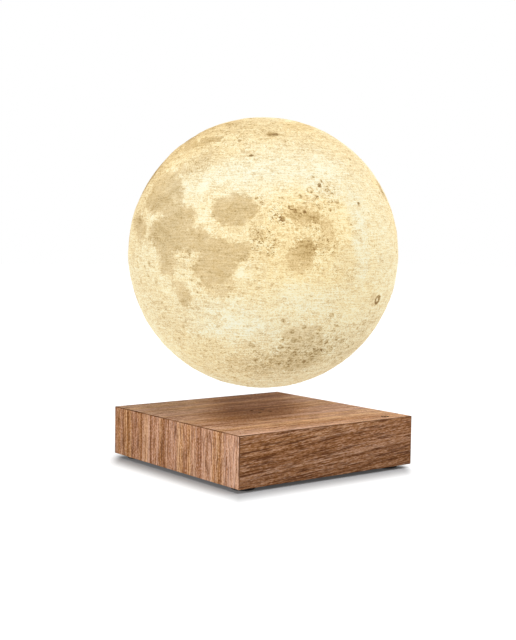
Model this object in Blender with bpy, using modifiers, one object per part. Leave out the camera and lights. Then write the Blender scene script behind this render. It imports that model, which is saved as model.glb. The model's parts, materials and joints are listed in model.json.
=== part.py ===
"""A floating moon lamp: a printed moon that hovers over a square walnut base.

Metres, +Z up. The lamp stands on z = 0, with its origin under the base's centre. The front, the face
near the touch mark, looks along -Y, and the power inlet is in the rear face, at +Y.
"""

import math

import bmesh
import bpy
from mathutils import Matrix

# Fits and cuts
FIT_GAP = 0.0003
CUT_OVERRUN = 0.002
MERGE_DISTANCE = 0.00001
SHARP_ANGLE = math.radians(35)

# Wood case
CASE_SIDE = 0.115
CASE_HEIGHT = 0.026
CASE_WALL = 0.004
CASE_TOP = 0.0036
CASE_EDGE = 0.0004
POST_WIDTH = 0.0105
POST_HEIGHT = 0.0135
CENTRE_DOT_PITCH = 0.0072
CENTRE_DOT_RADIUS = 0.0005
MARK_DEPTH = 0.0003
TOUCH_SIDE_INSET = 0.0139
TOUCH_FRONT_INSET = 0.0064
TOUCH_RING_RADIUS = 0.0021
TOUCH_LINE = 0.0005
TOUCH_DOT_RADIUS = 0.0006
INLET_RADIUS = 0.006

# Feet, bottom plate and its screws
FOOT_RADIUS = 0.006
FOOT_HEIGHT = 0.002
FOOT_INSET = 0.0095
FOOT_CHAMFER = 0.0005
FOOT_SEAT_DEPTH = 0.0006
PLATE_THICKNESS = 0.003
PLATE_LEDGE = 0.0018
PLATE_BOSS_HEIGHT = 0.0018
SCREW_SHANK_RADIUS = 0.00125
SCREW_HEAD_RADIUS = 0.0024
SCREW_HEAD_HEIGHT = 0.0011
CASE_SCREW_LENGTH = 0.009
STACK_HEAD_INSET = 0.0002

# Main board and what stands on it
BOARD_THICKNESS = 0.0016
CONTROL_CHIP_SIDE = 0.010
CONTROL_CHIP_PLACE = 0.016
REAR_BAY = 0.0115
JACK_WIDTH = 0.0092
JACK_FLANGE = 0.001
JACK_FLANGE_LIP = 0.001
JACK_BORE_RADIUS = 0.0032
JACK_BORE_FLOOR = 0.0018
JACK_PIN_RADIUS = 0.001
JACK_PIN_RECESS = 0.0018
HEAT_SINK_LENGTH = 0.018
HEAT_SINK_DEPTH = 0.006
HEAT_SINK_HEIGHT = 0.011
HEAT_SINK_BASE = 0.002
HEAT_SINK_PLACE = 0.026
HEAT_SINK_FINS = 5
FIN_SHARE = 0.4
CAPACITOR_RADIUS = 0.004
CAPACITOR_HEIGHT = 0.011
CAPACITOR_PLACE = 0.018
TOUCH_PAD_REACH = 0.0045
TOUCH_PAD_DEPTH = 0.005
TOUCH_PAD_THICKNESS = 0.0003
TOUCH_LEAD_RADIUS = 0.0005
TOUCH_LEAD_INSET = 0.0015
TOUCH_LEAD_BOW = 0.002

# Levitation tray, its magnet, coils and sensors
TRAY_FLOOR = 0.0018
TRAY_RIM = 0.0016
TRAY_HUB_WALL = 0.0012
TRAY_HUB_HEIGHT = 0.003
TRAY_LEG_RADIUS = 0.0032
STACK_SPACE = 0.0017
SENSOR_BOARD_SIDE = 0.0104
SENSOR_BOARD_THICKNESS = 0.001
SENSOR_LENGTH = 0.004
SENSOR_THICKNESS = 0.0015
SENSOR_HEIGHT = 0.003
FLAT_SENSOR_SIDE = 0.003
FLAT_SENSOR_HEIGHT = 0.0012
SENSOR_PLUG_LENGTH = 0.007
SENSOR_PLUG_WIDTH = 0.0024
BOBBIN_RADIUS = 0.0078
BOBBIN_FLANGE = 0.001
BOBBIN_HUB_RADIUS = 0.0042
BOBBIN_HUB_WALL = 0.0009
POWER_COIL_WIDTH = 0.0133
POWER_COIL_THICKNESS = 0.0012
FERRITE_THICKNESS = 0.0008
FERRITE_MARGIN = 0.0018

# Moon
MOON_RADIUS = 0.0725
MOON_WALL = 0.0016
LEVITATION_GAP = 0.013
MAGNET_RADIUS = 0.0222
MAGNET_HEIGHT = 0.007
CAP_WALL = 0.0015
CAP_POCKET_WALL = 0.0012
CAP_SKIRT = 0.0014
RECEIVER_COIL_WIDTH = 0.0054
DRIVER_BOARD_THICKNESS = 0.0012
DRIVER_CAPACITOR_RADIUS = 0.003
DRIVER_CAPACITOR_HEIGHT = 0.008
DRIVER_CHIP_SIDE = 0.006
DRIVER_CHIP_HEIGHT = 0.0016
LED_POST_RADIUS = 0.005
LED_POST_HEIGHT = 0.024
LED_POST_FLANGE_RADIUS = 0.009
LED_POST_FLANGE = 0.0016
LED_BOARD_RADIUS = 0.0125
LED_BOARD_THICKNESS = 0.0012
LED_SIDE = 0.0035
LED_HEIGHT = 0.0014
LED_COUNT = 6
LED_PITCH_RADIUS = 0.0068
DIFFUSER_WALL = 0.0009

# Facets
MOON_STEPS = 40
MOON_OUTER_ARC_STEPS = 24
MOON_INNER_ARC_STEPS = 16
CAP_ARC_STEPS = 5
WIDE_STEPS = 36
COIL_STEPS = 20
SMALL_STEPS = 12
DOME_ARC_STEPS = 4
LEAD_POINTS = 9

# Heights in the base, upwards from the floor
wood_bottom = FOOT_HEIGHT
wood_top = wood_bottom + CASE_HEIGHT
ceiling = wood_top - CASE_TOP
plate_top = wood_bottom + PLATE_THICKNESS
ledge_height = plate_top + FIT_GAP
foot_top = wood_bottom + FOOT_SEAT_DEPTH - FIT_GAP
board_bottom = plate_top + PLATE_BOSS_HEIGHT + FIT_GAP
board_top = board_bottom + BOARD_THICKNESS
tray_bottom = board_top + STACK_SPACE
tray_seat = tray_bottom + TRAY_FLOOR + FIT_GAP
power_coil_top = ceiling - FIT_GAP
power_coil_bottom = power_coil_top - POWER_COIL_THICKNESS
ferrite_top = power_coil_bottom - FIT_GAP
ferrite_bottom = ferrite_top - FERRITE_THICKNESS
ring_magnet_top = ferrite_bottom - FIT_GAP
jack_axis = board_top + FIT_GAP + JACK_WIDTH / 2
case_screw_seat = wood_bottom + FOOT_SEAT_DEPTH + SCREW_HEAD_HEIGHT
stack_screw_seat = wood_bottom + STACK_HEAD_INSET + SCREW_HEAD_HEIGHT

# Half widths and radii in the base, from the case inwards and from the sensors outwards
case_half = CASE_SIDE / 2
cavity_half = case_half - CASE_WALL
rebate_half = cavity_half + PLATE_LEDGE
plate_half = rebate_half - FIT_GAP
post_face = cavity_half - POST_WIDTH
foot_place = case_half - FOOT_INSET
board_half_width = post_face - FIT_GAP
board_half_depth = cavity_half - JACK_FLANGE - 2 * FIT_GAP
tray_radius = cavity_half - REAR_BAY
ring_magnet_outer = tray_radius - TRAY_RIM - FIT_GAP
sensor_board_half = SENSOR_BOARD_SIDE / 2
coil_pitch = sensor_board_half + BOBBIN_RADIUS + 2 * FIT_GAP
hub_inner = coil_pitch + BOBBIN_RADIUS + FIT_GAP
hub_outer = hub_inner + TRAY_HUB_WALL
ring_magnet_inner = hub_outer + FIT_GAP
power_coil_outer = ring_magnet_outer - FERRITE_MARGIN
power_coil_inner = power_coil_outer - POWER_COIL_WIDTH
ferrite_inner = power_coil_inner - FERRITE_MARGIN
stack_screw_radius = tray_radius - TRAY_LEG_RADIUS - FIT_GAP
stack_screw_place = stack_screw_radius / math.sqrt(2)
screw_hole_radius = SCREW_SHANK_RADIUS + FIT_GAP
head_hole_radius = SCREW_HEAD_RADIUS + FIT_GAP
touch_x = case_half - TOUCH_SIDE_INSET
touch_y = TOUCH_FRONT_INSET - case_half

# Moon: radii, and heights from its own centre
moon_centre = wood_top + LEVITATION_GAP + MOON_RADIUS
moon_inner_radius = MOON_RADIUS - MOON_WALL
pocket_inner = MAGNET_RADIUS + FIT_GAP
pocket_outer = pocket_inner + CAP_POCKET_WALL
receiver_inner = pocket_outer + FIT_GAP
receiver_outer = receiver_inner + RECEIVER_COIL_WIDTH
skirt_inner = receiver_outer + FIT_GAP
cap_radius = skirt_inner + CAP_SKIRT
opening_radius = cap_radius + FIT_GAP

CORNERS = {
    "front_left": (-1, -1),
    "front_right": (1, -1),
    "rear_left": (-1, 1),
    "rear_right": (1, 1),
}
SIDES = {"right": (1, 0), "rear": (0, 1), "left": (-1, 0), "front": (0, -1)}


def sphere_depth(radius, reach):
    """How far below a sphere's centre its surface lies, at a distance reach from the axis."""
    return -math.sqrt(radius**2 - reach**2)


pocket_floor = sphere_depth(MOON_RADIUS, pocket_inner) + CAP_WALL
receiver_floor = sphere_depth(MOON_RADIUS, skirt_inner) + CAP_WALL
magnet_bottom = pocket_floor + FIT_GAP
magnet_top = magnet_bottom + MAGNET_HEIGHT
cap_top = magnet_top + FIT_GAP
driver_board_bottom = cap_top + FIT_GAP
driver_board_top = driver_board_bottom + DRIVER_BOARD_THICKNESS
led_post_bottom = driver_board_top + FIT_GAP
led_post_top = led_post_bottom + LED_POST_HEIGHT
led_board_bottom = led_post_top + FIT_GAP
led_board_top = led_board_bottom + LED_BOARD_THICKNESS


# Scene and collections

for old in list(bpy.data.objects):
    bpy.data.objects.remove(old, do_unlink=True)

lamp = bpy.data.collections.new("moon_lamp")
cutters = bpy.data.collections.new("cutters")
bpy.context.scene.collection.children.link(lamp)
bpy.context.scene.collection.children.link(cutters)


# Finishes: base colour, roughness, metallic

WALNUT = ((0.29, 0.155, 0.085), 0.5, 0)
BLACK_RUBBER = ((0.015, 0.015, 0.015), 0.8, 0)
BLACK_PLASTIC = ((0.02, 0.02, 0.022), 0.55, 0)
GREY_PLASTIC = ((0.25, 0.26, 0.28), 0.5, 0)
STEEL = ((0.55, 0.55, 0.56), 0.35, 1)
NICKEL = ((0.7, 0.69, 0.66), 0.2, 1)
IRON = ((0.2, 0.2, 0.21), 0.45, 1)
FERRITE = ((0.05, 0.05, 0.055), 0.6, 0)
COPPER = ((0.72, 0.33, 0.17), 0.3, 1)
ALUMINIUM = ((0.75, 0.76, 0.78), 0.35, 1)
CIRCUIT_BOARD = ((0.02, 0.16, 0.07), 0.4, 0)
MOON_PRINT = ((0.86, 0.72, 0.48), 0.7, 0)
LED_WINDOW = ((0.95, 0.85, 0.45), 0.3, 0)
OPAL = ((0.9, 0.9, 0.88), 0.4, 0)


def finish_with(obj, finish, glow=0):
    """Gives the object its own material."""
    colour, roughness, metallic = finish
    material = bpy.data.materials.new(obj.name)
    material.use_nodes = True
    shader = material.node_tree.nodes["Principled BSDF"]
    shader.inputs["Base Color"].default_value = (*colour, 1)
    shader.inputs["Roughness"].default_value = roughness
    shader.inputs["Metallic"].default_value = metallic
    shader.inputs["Emission Color"].default_value = (*colour, 1)
    shader.inputs["Emission Strength"].default_value = glow
    obj.data.materials.clear()
    obj.data.materials.append(material)


def object_from(bm, name, place, group=lamp):
    """An object from a bmesh, smooth except along its sharp edges."""
    mesh = bpy.data.meshes.new(name)
    bm.to_mesh(mesh)
    bm.free()
    mesh.shade_smooth()
    mesh.set_sharp_from_angle(angle=SHARP_ANGLE)
    obj = bpy.data.objects.new(name, mesh)
    obj.location = place
    group.objects.link(obj)
    return obj


def box(name, size, place, finish, group=lamp):
    bm = bmesh.new()
    bmesh.ops.create_cube(bm, size=1, matrix=Matrix.Diagonal((*size, 1)))
    obj = object_from(bm, name, place, group)
    if finish:
        finish_with(obj, finish)
    return obj


def rod(name, radius, length, place, finish, steps=COIL_STEPS, axis="Z", group=lamp):
    """A cylinder about its place, along Z or Y."""
    turn = Matrix.Rotation(math.pi / 2, 4, "X") if axis == "Y" else Matrix.Identity(4)
    bm = bmesh.new()
    bmesh.ops.create_cone(
        bm,
        cap_ends=True,
        segments=steps,
        radius1=radius,
        radius2=radius,
        depth=length,
        matrix=turn,
    )
    obj = object_from(bm, name, place, group)
    if finish:
        finish_with(obj, finish)
    return obj


def turned(name, outline, place, finish, steps, group=lamp, glow=0):
    """Turns (radius, height) points about Z. They run down the outer side. A ring's outline closes."""
    mesh = bpy.data.meshes.new(name)
    edges = [(i, i + 1) for i in range(len(outline) - 1)]
    if outline[0][0] > 0:
        edges.append((len(outline) - 1, 0))
    mesh.from_pydata([(radius, 0, height) for radius, height in outline], edges, [])
    obj = bpy.data.objects.new(name, mesh)
    group.objects.link(obj)
    screw = obj.modifiers.new("turn", "SCREW")
    screw.steps = screw.render_steps = steps
    screw.use_merge_vertices = True
    screw.merge_threshold = MERGE_DISTANCE
    solid = bpy.data.meshes.new_from_object(obj.evaluated_get(bpy.context.evaluated_depsgraph_get()))
    obj.modifiers.clear()
    obj.data = solid
    bpy.data.meshes.remove(mesh)
    solid.name = name
    solid.shade_smooth()
    solid.set_sharp_from_angle(angle=SHARP_ANGLE)
    obj.location = place
    if finish:
        finish_with(obj, finish, glow)
    return obj


def ring(name, outer, inner, bottom, top, place, finish, steps=WIDE_STEPS, group=lamp):
    """A flat ring between two heights."""
    outline = [(outer, top), (outer, bottom), (inner, bottom), (inner, top)]
    return turned(name, outline, place, finish, steps, group)


def arc(radius, first, last, steps):
    """Points (reach, height) on a circle about the axis, by angles from its top."""
    angles = [first + (last - first) * i / steps for i in range(steps + 1)]
    return [(radius * math.sin(angle), radius * math.cos(angle)) for angle in angles]


def angle_at(radius, reach):
    """The angle from a sphere's top to its lower circle of radius reach."""
    return math.pi - math.asin(reach / radius)


def combine(obj, other, operation):
    other.hide_render = True
    other.display_type = "WIRE"
    boolean = obj.modifiers.new(other.name, "BOOLEAN")
    boolean.operation = operation
    boolean.solver = "EXACT"
    boolean.object = other


def cut_box(obj, name, low, high):
    size = [b - a for a, b in zip(low, high)]
    place = [(a + b) / 2 for a, b in zip(low, high)]
    combine(obj, box(f"{name}_cutter", size, place, None, cutters), "DIFFERENCE")


def cut_rod(obj, name, radius, place, bottom, top, axis="Z", steps=SMALL_STEPS):
    """Cuts a round hole between two heights on its axis. place holds the other two coordinates."""
    middle = (bottom + top) / 2
    where = (place[0], place[1], middle) if axis == "Z" else (place[0], middle, place[1])
    cutter = rod(f"{name}_cutter", radius, top - bottom, where, None, steps, axis, cutters)
    combine(obj, cutter, "DIFFERENCE")


def add_rod(obj, name, radius, place, bottom, top, steps=SMALL_STEPS):
    where = (*place, (bottom + top) / 2)
    combine(obj, rod(f"{name}_guide", radius, top - bottom, where, None, steps, group=cutters), "UNION")


def cut_ring(obj, name, outer, inner, place, bottom, top):
    """Cuts a round groove."""
    where = (*place, 0)
    cutter = ring(f"{name}_cutter", outer, inner, bottom, top, where, None, COIL_STEPS, cutters)
    combine(obj, cutter, "DIFFERENCE")


# Base


def make_case():
    """The walnut case, open below, with a block in each corner for a screw."""
    middle = (wood_bottom + wood_top) / 2
    case = box("wood_case", (CASE_SIDE, CASE_SIDE, CASE_HEIGHT), (0, 0, middle), WALNUT)
    edges = case.modifiers.new("edges", "BEVEL")
    edges.width = CASE_EDGE
    edges.segments = 2
    below = wood_bottom - CUT_OVERRUN
    post_top = ledge_height + POST_HEIGHT
    cut_box(case, "rebate", (-rebate_half, -rebate_half, below), (rebate_half, rebate_half, ledge_height))
    cut_box(case, "cavity_across", (-cavity_half, -post_face, below), (cavity_half, post_face, ceiling))
    cut_box(case, "cavity_along", (-post_face, -cavity_half, below), (post_face, cavity_half, ceiling))
    cut_box(case, "over_posts", (-cavity_half, -cavity_half, post_top), (cavity_half, cavity_half, ceiling))
    pilot_top = case_screw_seat + CASE_SCREW_LENGTH + FIT_GAP
    for corner, (x, y) in CORNERS.items():
        place = (x * foot_place, y * foot_place)
        cut_rod(case, f"pilot_{corner}", screw_hole_radius, place, below, pilot_top)
    inlet = (0, jack_axis)
    cut_rod(case, "inlet", INLET_RADIUS, inlet, tray_radius, case_half + CUT_OVERRUN, "Y", COIL_STEPS)
    mark_floor = wood_top - MARK_DEPTH
    mark_top = wood_top + CUT_OVERRUN
    for corner, (x, y) in CORNERS.items():
        place = (x * CENTRE_DOT_PITCH / 2, y * CENTRE_DOT_PITCH / 2)
        cut_rod(case, f"dot_{corner}", CENTRE_DOT_RADIUS, place, mark_floor, mark_top)
    touch = (touch_x, touch_y)
    inner = TOUCH_RING_RADIUS - TOUCH_LINE
    cut_ring(case, "touch_ring", TOUCH_RING_RADIUS, inner, touch, mark_floor, mark_top)
    cut_rod(case, "touch_dot", TOUCH_DOT_RADIUS, touch, mark_floor, mark_top)


def make_plate():
    """The bottom plate, with a seat for each foot and a boss under each corner of the main board."""
    middle = (wood_bottom + plate_top) / 2
    side = 2 * plate_half
    plate = box("bottom_plate", (side, side, PLATE_THICKNESS), (0, 0, middle), BLACK_PLASTIC)
    below = wood_bottom - CUT_OVERRUN
    boss_top = plate_top + PLATE_BOSS_HEIGHT
    for corner, (x, y) in CORNERS.items():
        boss = (x * stack_screw_place, y * stack_screw_place)
        add_rod(plate, f"boss_{corner}", TRAY_LEG_RADIUS, boss, middle, boss_top)
    for corner, (x, y) in CORNERS.items():
        foot = (x * foot_place, y * foot_place)
        seat_top = wood_bottom + FOOT_SEAT_DEPTH
        cut_rod(plate, f"seat_{corner}", FOOT_RADIUS + FIT_GAP, foot, below, seat_top, steps=COIL_STEPS)
        cut_rod(plate, f"head_{corner}", head_hole_radius, foot, below, case_screw_seat + FIT_GAP)
        cut_rod(plate, f"shank_{corner}", screw_hole_radius, foot, below, plate_top + CUT_OVERRUN)
        boss = (x * stack_screw_place, y * stack_screw_place)
        cut_rod(plate, f"boss_head_{corner}", head_hole_radius, boss, below, stack_screw_seat + FIT_GAP)
        cut_rod(plate, f"boss_hole_{corner}", screw_hole_radius, boss, below, boss_top + CUT_OVERRUN)


def make_foot(corner, x, y):
    outline = [
        (0, foot_top),
        (FOOT_RADIUS, foot_top),
        (FOOT_RADIUS, FOOT_CHAMFER),
        (FOOT_RADIUS - FOOT_CHAMFER, 0),
        (0, 0),
    ]
    turned(f"foot_{corner}", outline, (x * foot_place, y * foot_place, 0), BLACK_RUBBER, COIL_STEPS)


def make_screw(name, place, seat, length):
    """A pan screw, head down. seat is the height of the head's bearing face."""
    outline = [
        (0, seat + length),
        (SCREW_SHANK_RADIUS, seat + length - SCREW_SHANK_RADIUS),
        (SCREW_SHANK_RADIUS, seat),
        (SCREW_HEAD_RADIUS, seat),
        (SCREW_HEAD_RADIUS, seat - SCREW_HEAD_HEIGHT),
        (0, seat - SCREW_HEAD_HEIGHT),
    ]
    turned(name, outline, (*place, 0), STEEL, SMALL_STEPS)


def make_screws():
    """Four hold the plate to the case, and four clamp plate, board and tray together."""
    stack_length = tray_bottom + TRAY_FLOOR - stack_screw_seat
    for corner, (x, y) in CORNERS.items():
        place = (x * foot_place, y * foot_place)
        make_screw(f"case_screw_{corner}", place, case_screw_seat, CASE_SCREW_LENGTH)
        place = (x * stack_screw_place, y * stack_screw_place)
        make_screw(f"stack_screw_{corner}", place, stack_screw_seat, stack_length)


def make_main_board():
    size = (2 * board_half_width, 2 * board_half_depth, BOARD_THICKNESS)
    board = box("main_board", size, (0, 0, (board_bottom + board_top) / 2), CIRCUIT_BOARD)
    low, high = board_bottom - CUT_OVERRUN, board_top + CUT_OVERRUN
    for corner, (x, y) in CORNERS.items():
        place = (x * stack_screw_place, y * stack_screw_place)
        cut_rod(board, f"board_hole_{corner}", screw_hole_radius, place, low, high)
    seat = board_top + FIT_GAP
    chip_height = STACK_SPACE - 2 * FIT_GAP
    chip_size = (CONTROL_CHIP_SIDE, CONTROL_CHIP_SIDE, chip_height)
    box("control_chip", chip_size, (0, -CONTROL_CHIP_PLACE, seat + chip_height / 2), BLACK_PLASTIC)


def make_jack():
    """The power socket: a round flange behind the case's inlet, a bore and a centre pin."""
    front = cavity_half - FIT_GAP
    flange_middle = front - JACK_FLANGE / 2
    back = tray_radius + FIT_GAP
    size = (JACK_WIDTH, flange_middle - back, JACK_WIDTH)
    jack = box("power_jack", size, (0, (flange_middle + back) / 2, jack_axis), BLACK_PLASTIC)
    flange_radius = INLET_RADIUS + JACK_FLANGE_LIP
    place = (0, flange_middle, jack_axis)
    flange = rod("jack_flange_guide", flange_radius, JACK_FLANGE, place, None, COIL_STEPS, "Y", cutters)
    combine(jack, flange, "UNION")
    bore_back = back + JACK_BORE_FLOOR
    cut_rod(jack, "jack_bore", JACK_BORE_RADIUS, (0, jack_axis), bore_back, front + CUT_OVERRUN, "Y")
    pin_tip = front - JACK_PIN_RECESS
    pin_root = bore_back + FIT_GAP
    place = (0, (pin_tip + pin_root) / 2, jack_axis)
    rod("jack_pin", JACK_PIN_RADIUS, pin_tip - pin_root, place, NICKEL, SMALL_STEPS, "Y")


def make_heat_sink():
    """A comb of upright fins on the main board, in the bay behind the tray."""
    half = HEAT_SINK_LENGTH / 2
    pitch = HEAT_SINK_LENGTH / (HEAT_SINK_FINS - 1 + FIN_SHARE)
    fin = pitch * FIN_SHARE
    outline = [(-half, 0), (half, 0)]
    for i in reversed(range(HEAT_SINK_FINS)):
        left = -half + i * pitch
        right = left + fin
        if i < HEAT_SINK_FINS - 1:
            outline.append((right, HEAT_SINK_BASE))
        outline += [(right, HEAT_SINK_HEIGHT), (left, HEAT_SINK_HEIGHT)]
        if i:
            outline.append((left, HEAT_SINK_BASE))
    curve = bpy.data.curves.new("heat_sink", "CURVE")
    curve.dimensions = "2D"
    curve.fill_mode = "BOTH"
    curve.extrude = HEAT_SINK_DEPTH / 2
    spline = curve.splines.new("POLY")
    spline.points.add(len(outline) - 1)
    for point, (x, z) in zip(spline.points, outline):
        point.co = (x, z, 0, 1)
    spline.use_cyclic_u = True
    sink = bpy.data.objects.new("heat_sink", curve)
    sink.rotation_euler = (math.pi / 2, 0, 0)
    middle = board_half_depth - FIT_GAP - HEAT_SINK_DEPTH / 2
    sink.location = (HEAT_SINK_PLACE, middle, board_top + FIT_GAP)
    lamp.objects.link(sink)
    finish_with(sink, ALUMINIUM)


def make_capacitor():
    """The supply's capacitor, in the rear bay on the other side of the socket."""
    behind = board_half_depth - FIT_GAP
    middle = board_top + FIT_GAP + CAPACITOR_HEIGHT / 2
    place = (-CAPACITOR_PLACE, behind - CAPACITOR_RADIUS, middle)
    rod("main_capacitor", CAPACITOR_RADIUS, CAPACITOR_HEIGHT, place, BLACK_PLASTIC, SMALL_STEPS)


def make_touch_sensor():
    """A copper pad under the touch mark, and its lead down to the main board."""
    pad_top = ceiling - FIT_GAP
    pad_bottom = pad_top - TOUCH_PAD_THICKNESS
    pad_y = TOUCH_PAD_DEPTH / 2 + FIT_GAP - cavity_half
    lead_x = board_half_width - TOUCH_LEAD_INSET
    left, right = lead_x - TOUCH_LEAD_INSET, touch_x + TOUCH_PAD_REACH
    size = (right - left, TOUCH_PAD_DEPTH, TOUCH_PAD_THICKNESS)
    box("touch_pad", size, ((left + right) / 2, pad_y, (pad_top + pad_bottom) / 2), COPPER)
    curve = bpy.data.curves.new("touch_lead", "CURVE")
    curve.dimensions = "3D"
    curve.bevel_depth = TOUCH_LEAD_RADIUS
    curve.bevel_resolution = 1
    curve.use_fill_caps = True
    spline = curve.splines.new("POLY")
    spline.points.add(LEAD_POINTS - 1)
    top, bottom = pad_bottom - FIT_GAP, board_top + FIT_GAP
    for i, point in enumerate(spline.points):
        share = i / (LEAD_POINTS - 1)
        bow = TOUCH_LEAD_BOW * math.sin(math.pi * share) ** 2
        point.co = (lead_x, pad_y + bow, top + (bottom - top) * share, 1)
    lead = bpy.data.objects.new("touch_lead", curve)
    lamp.objects.link(lead)
    finish_with(lead, BLACK_PLASTIC)


def make_tray():
    """The levitation tray: a floor, an outer rim, an inner hub wall and four legs."""
    top = tray_bottom + TRAY_FLOOR
    rim_inner = tray_radius - TRAY_RIM
    hub_top = tray_seat + TRAY_HUB_HEIGHT
    plug_hole = math.hypot(SENSOR_PLUG_LENGTH, SENSOR_PLUG_WIDTH) / 2 + FIT_GAP
    outline = [
        (tray_radius, ring_magnet_top),
        (tray_radius, tray_bottom),
        (plug_hole, tray_bottom),
        (plug_hole, top),
        (hub_inner, top),
        (hub_inner, hub_top),
        (hub_outer, hub_top),
        (hub_outer, top),
        (rim_inner, top),
        (rim_inner, ring_magnet_top),
    ]
    tray = turned("levitation_tray", outline, (0, 0, 0), GREY_PLASTIC, WIDE_STEPS)
    leg_bottom = board_top + FIT_GAP
    middle = (tray_bottom + top) / 2
    for corner, (x, y) in CORNERS.items():
        place = (x * stack_screw_place, y * stack_screw_place)
        add_rod(tray, f"leg_{corner}", TRAY_LEG_RADIUS, place, leg_bottom, middle)
    for corner, (x, y) in CORNERS.items():
        place = (x * stack_screw_place, y * stack_screw_place)
        cut_rod(tray, f"leg_hole_{corner}", screw_hole_radius, place, board_top, top + CUT_OVERRUN)


def make_levitation_magnets():
    """The ring magnet that carries the moon, with the power coil and its ferrite over it."""
    centre, outer = (0, 0, 0), ring_magnet_outer
    ring("ring_magnet", outer, ring_magnet_inner, tray_seat, ring_magnet_top, centre, FERRITE)
    ring("power_ferrite", outer, ferrite_inner, ferrite_bottom, ferrite_top, centre, FERRITE)
    low, high = power_coil_bottom, power_coil_top
    ring("power_coil", power_coil_outer, power_coil_inner, low, high, centre, COPPER)


def make_steering_coil(side, x, y):
    """A bobbin, its winding and its iron core."""
    place = (x * coil_pitch, y * coil_pitch, 0)
    top, bottom = ring_magnet_top, tray_seat
    bore = BOBBIN_HUB_RADIUS - BOBBIN_HUB_WALL
    outline = [
        (BOBBIN_RADIUS, top),
        (BOBBIN_RADIUS, top - BOBBIN_FLANGE),
        (BOBBIN_HUB_RADIUS, top - BOBBIN_FLANGE),
        (BOBBIN_HUB_RADIUS, bottom + BOBBIN_FLANGE),
        (BOBBIN_RADIUS, bottom + BOBBIN_FLANGE),
        (BOBBIN_RADIUS, bottom),
        (bore, bottom),
        (bore, top),
    ]
    turned(f"bobbin_{side}", outline, place, BLACK_PLASTIC, COIL_STEPS)
    low, high = bottom + BOBBIN_FLANGE + FIT_GAP, top - BOBBIN_FLANGE - FIT_GAP
    outer = BOBBIN_RADIUS - FIT_GAP
    ring(f"coil_{side}", outer, BOBBIN_HUB_RADIUS + FIT_GAP, low, high, place, COPPER, COIL_STEPS)
    middle = (place[0], place[1], (bottom + top) / 2)
    rod(f"core_{side}", bore - FIT_GAP, top - bottom, middle, IRON, SMALL_STEPS)


def make_sensors():
    """Three field sensors, one for each direction, on a small board between the coils."""
    board_middle = tray_seat + SENSOR_BOARD_THICKNESS / 2
    size = (SENSOR_BOARD_SIDE, SENSOR_BOARD_SIDE, SENSOR_BOARD_THICKNESS)
    box("sensor_board", size, (0, 0, board_middle), CIRCUIT_BOARD)
    seat = tray_seat + SENSOR_BOARD_THICKNESS + FIT_GAP
    edge = sensor_board_half - FIT_GAP - SENSOR_THICKNESS / 2
    middle = seat + SENSOR_HEIGHT / 2
    size = (SENSOR_THICKNESS, SENSOR_LENGTH, SENSOR_HEIGHT)
    box("field_sensor_x", size, (edge, 0, middle), BLACK_PLASTIC)
    size = (SENSOR_LENGTH, SENSOR_THICKNESS, SENSOR_HEIGHT)
    box("field_sensor_y", size, (0, edge, middle), BLACK_PLASTIC)
    size = (FLAT_SENSOR_SIDE, FLAT_SENSOR_SIDE, FLAT_SENSOR_HEIGHT)
    box("field_sensor_z", size, (0, 0, seat + FLAT_SENSOR_HEIGHT / 2), BLACK_PLASTIC)
    low, high = board_top + FIT_GAP, tray_seat - FIT_GAP
    size = (SENSOR_PLUG_LENGTH, SENSOR_PLUG_WIDTH, high - low)
    box("sensor_plug", size, (0, 0, (low + high) / 2), BLACK_PLASTIC)


# Moon. Its pieces hang on an empty at its centre, where the spin axis passes.


def make_moon_shell():
    """The printed shell, open below for the cap."""
    outer = arc(MOON_RADIUS, 0, angle_at(MOON_RADIUS, opening_radius), MOON_OUTER_ARC_STEPS)
    inner = arc(moon_inner_radius, angle_at(moon_inner_radius, opening_radius), 0, MOON_INNER_ARC_STEPS)
    outer[0] = (0, MOON_RADIUS)
    inner[-1] = (0, moon_inner_radius)
    return turned("moon_shell", outer + inner, (0, 0, 0), MOON_PRINT, MOON_STEPS, glow=1)


def make_moon_cap():
    """The bottom cap: the sphere's foot outside, a magnet pocket and a coil channel inside."""
    outside = arc(MOON_RADIUS, angle_at(MOON_RADIUS, cap_radius), math.pi, CAP_ARC_STEPS)
    outside[-1] = (0, -MOON_RADIUS)
    inside = [
        (0, pocket_floor),
        (pocket_inner, pocket_floor),
        (pocket_inner, cap_top),
        (pocket_outer, cap_top),
        (pocket_outer, receiver_floor),
        (skirt_inner, receiver_floor),
        (skirt_inner, cap_top),
    ]
    outline = inside + [(cap_radius, cap_top)] + outside
    return turned("moon_cap", outline, (0, 0, 0), MOON_PRINT, MOON_STEPS, glow=1)


def make_collar():
    """A ring bonded inside the shell, round the cap's skirt, clear of the shell's flat facets."""
    half_facet = angle_at(moon_inner_radius, opening_radius) / MOON_INNER_ARC_STEPS / 2
    bond_radius = moon_inner_radius * math.cos(half_facet) - FIT_GAP
    widest = math.sqrt(bond_radius**2 - cap_top**2)
    first, last = angle_at(bond_radius, widest), angle_at(bond_radius, opening_radius)
    outline = arc(bond_radius, first, last, CAP_ARC_STEPS) + [(opening_radius, cap_top)]
    return turned("shell_collar", outline, (0, 0, 0), OPAL, MOON_STEPS)


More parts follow.
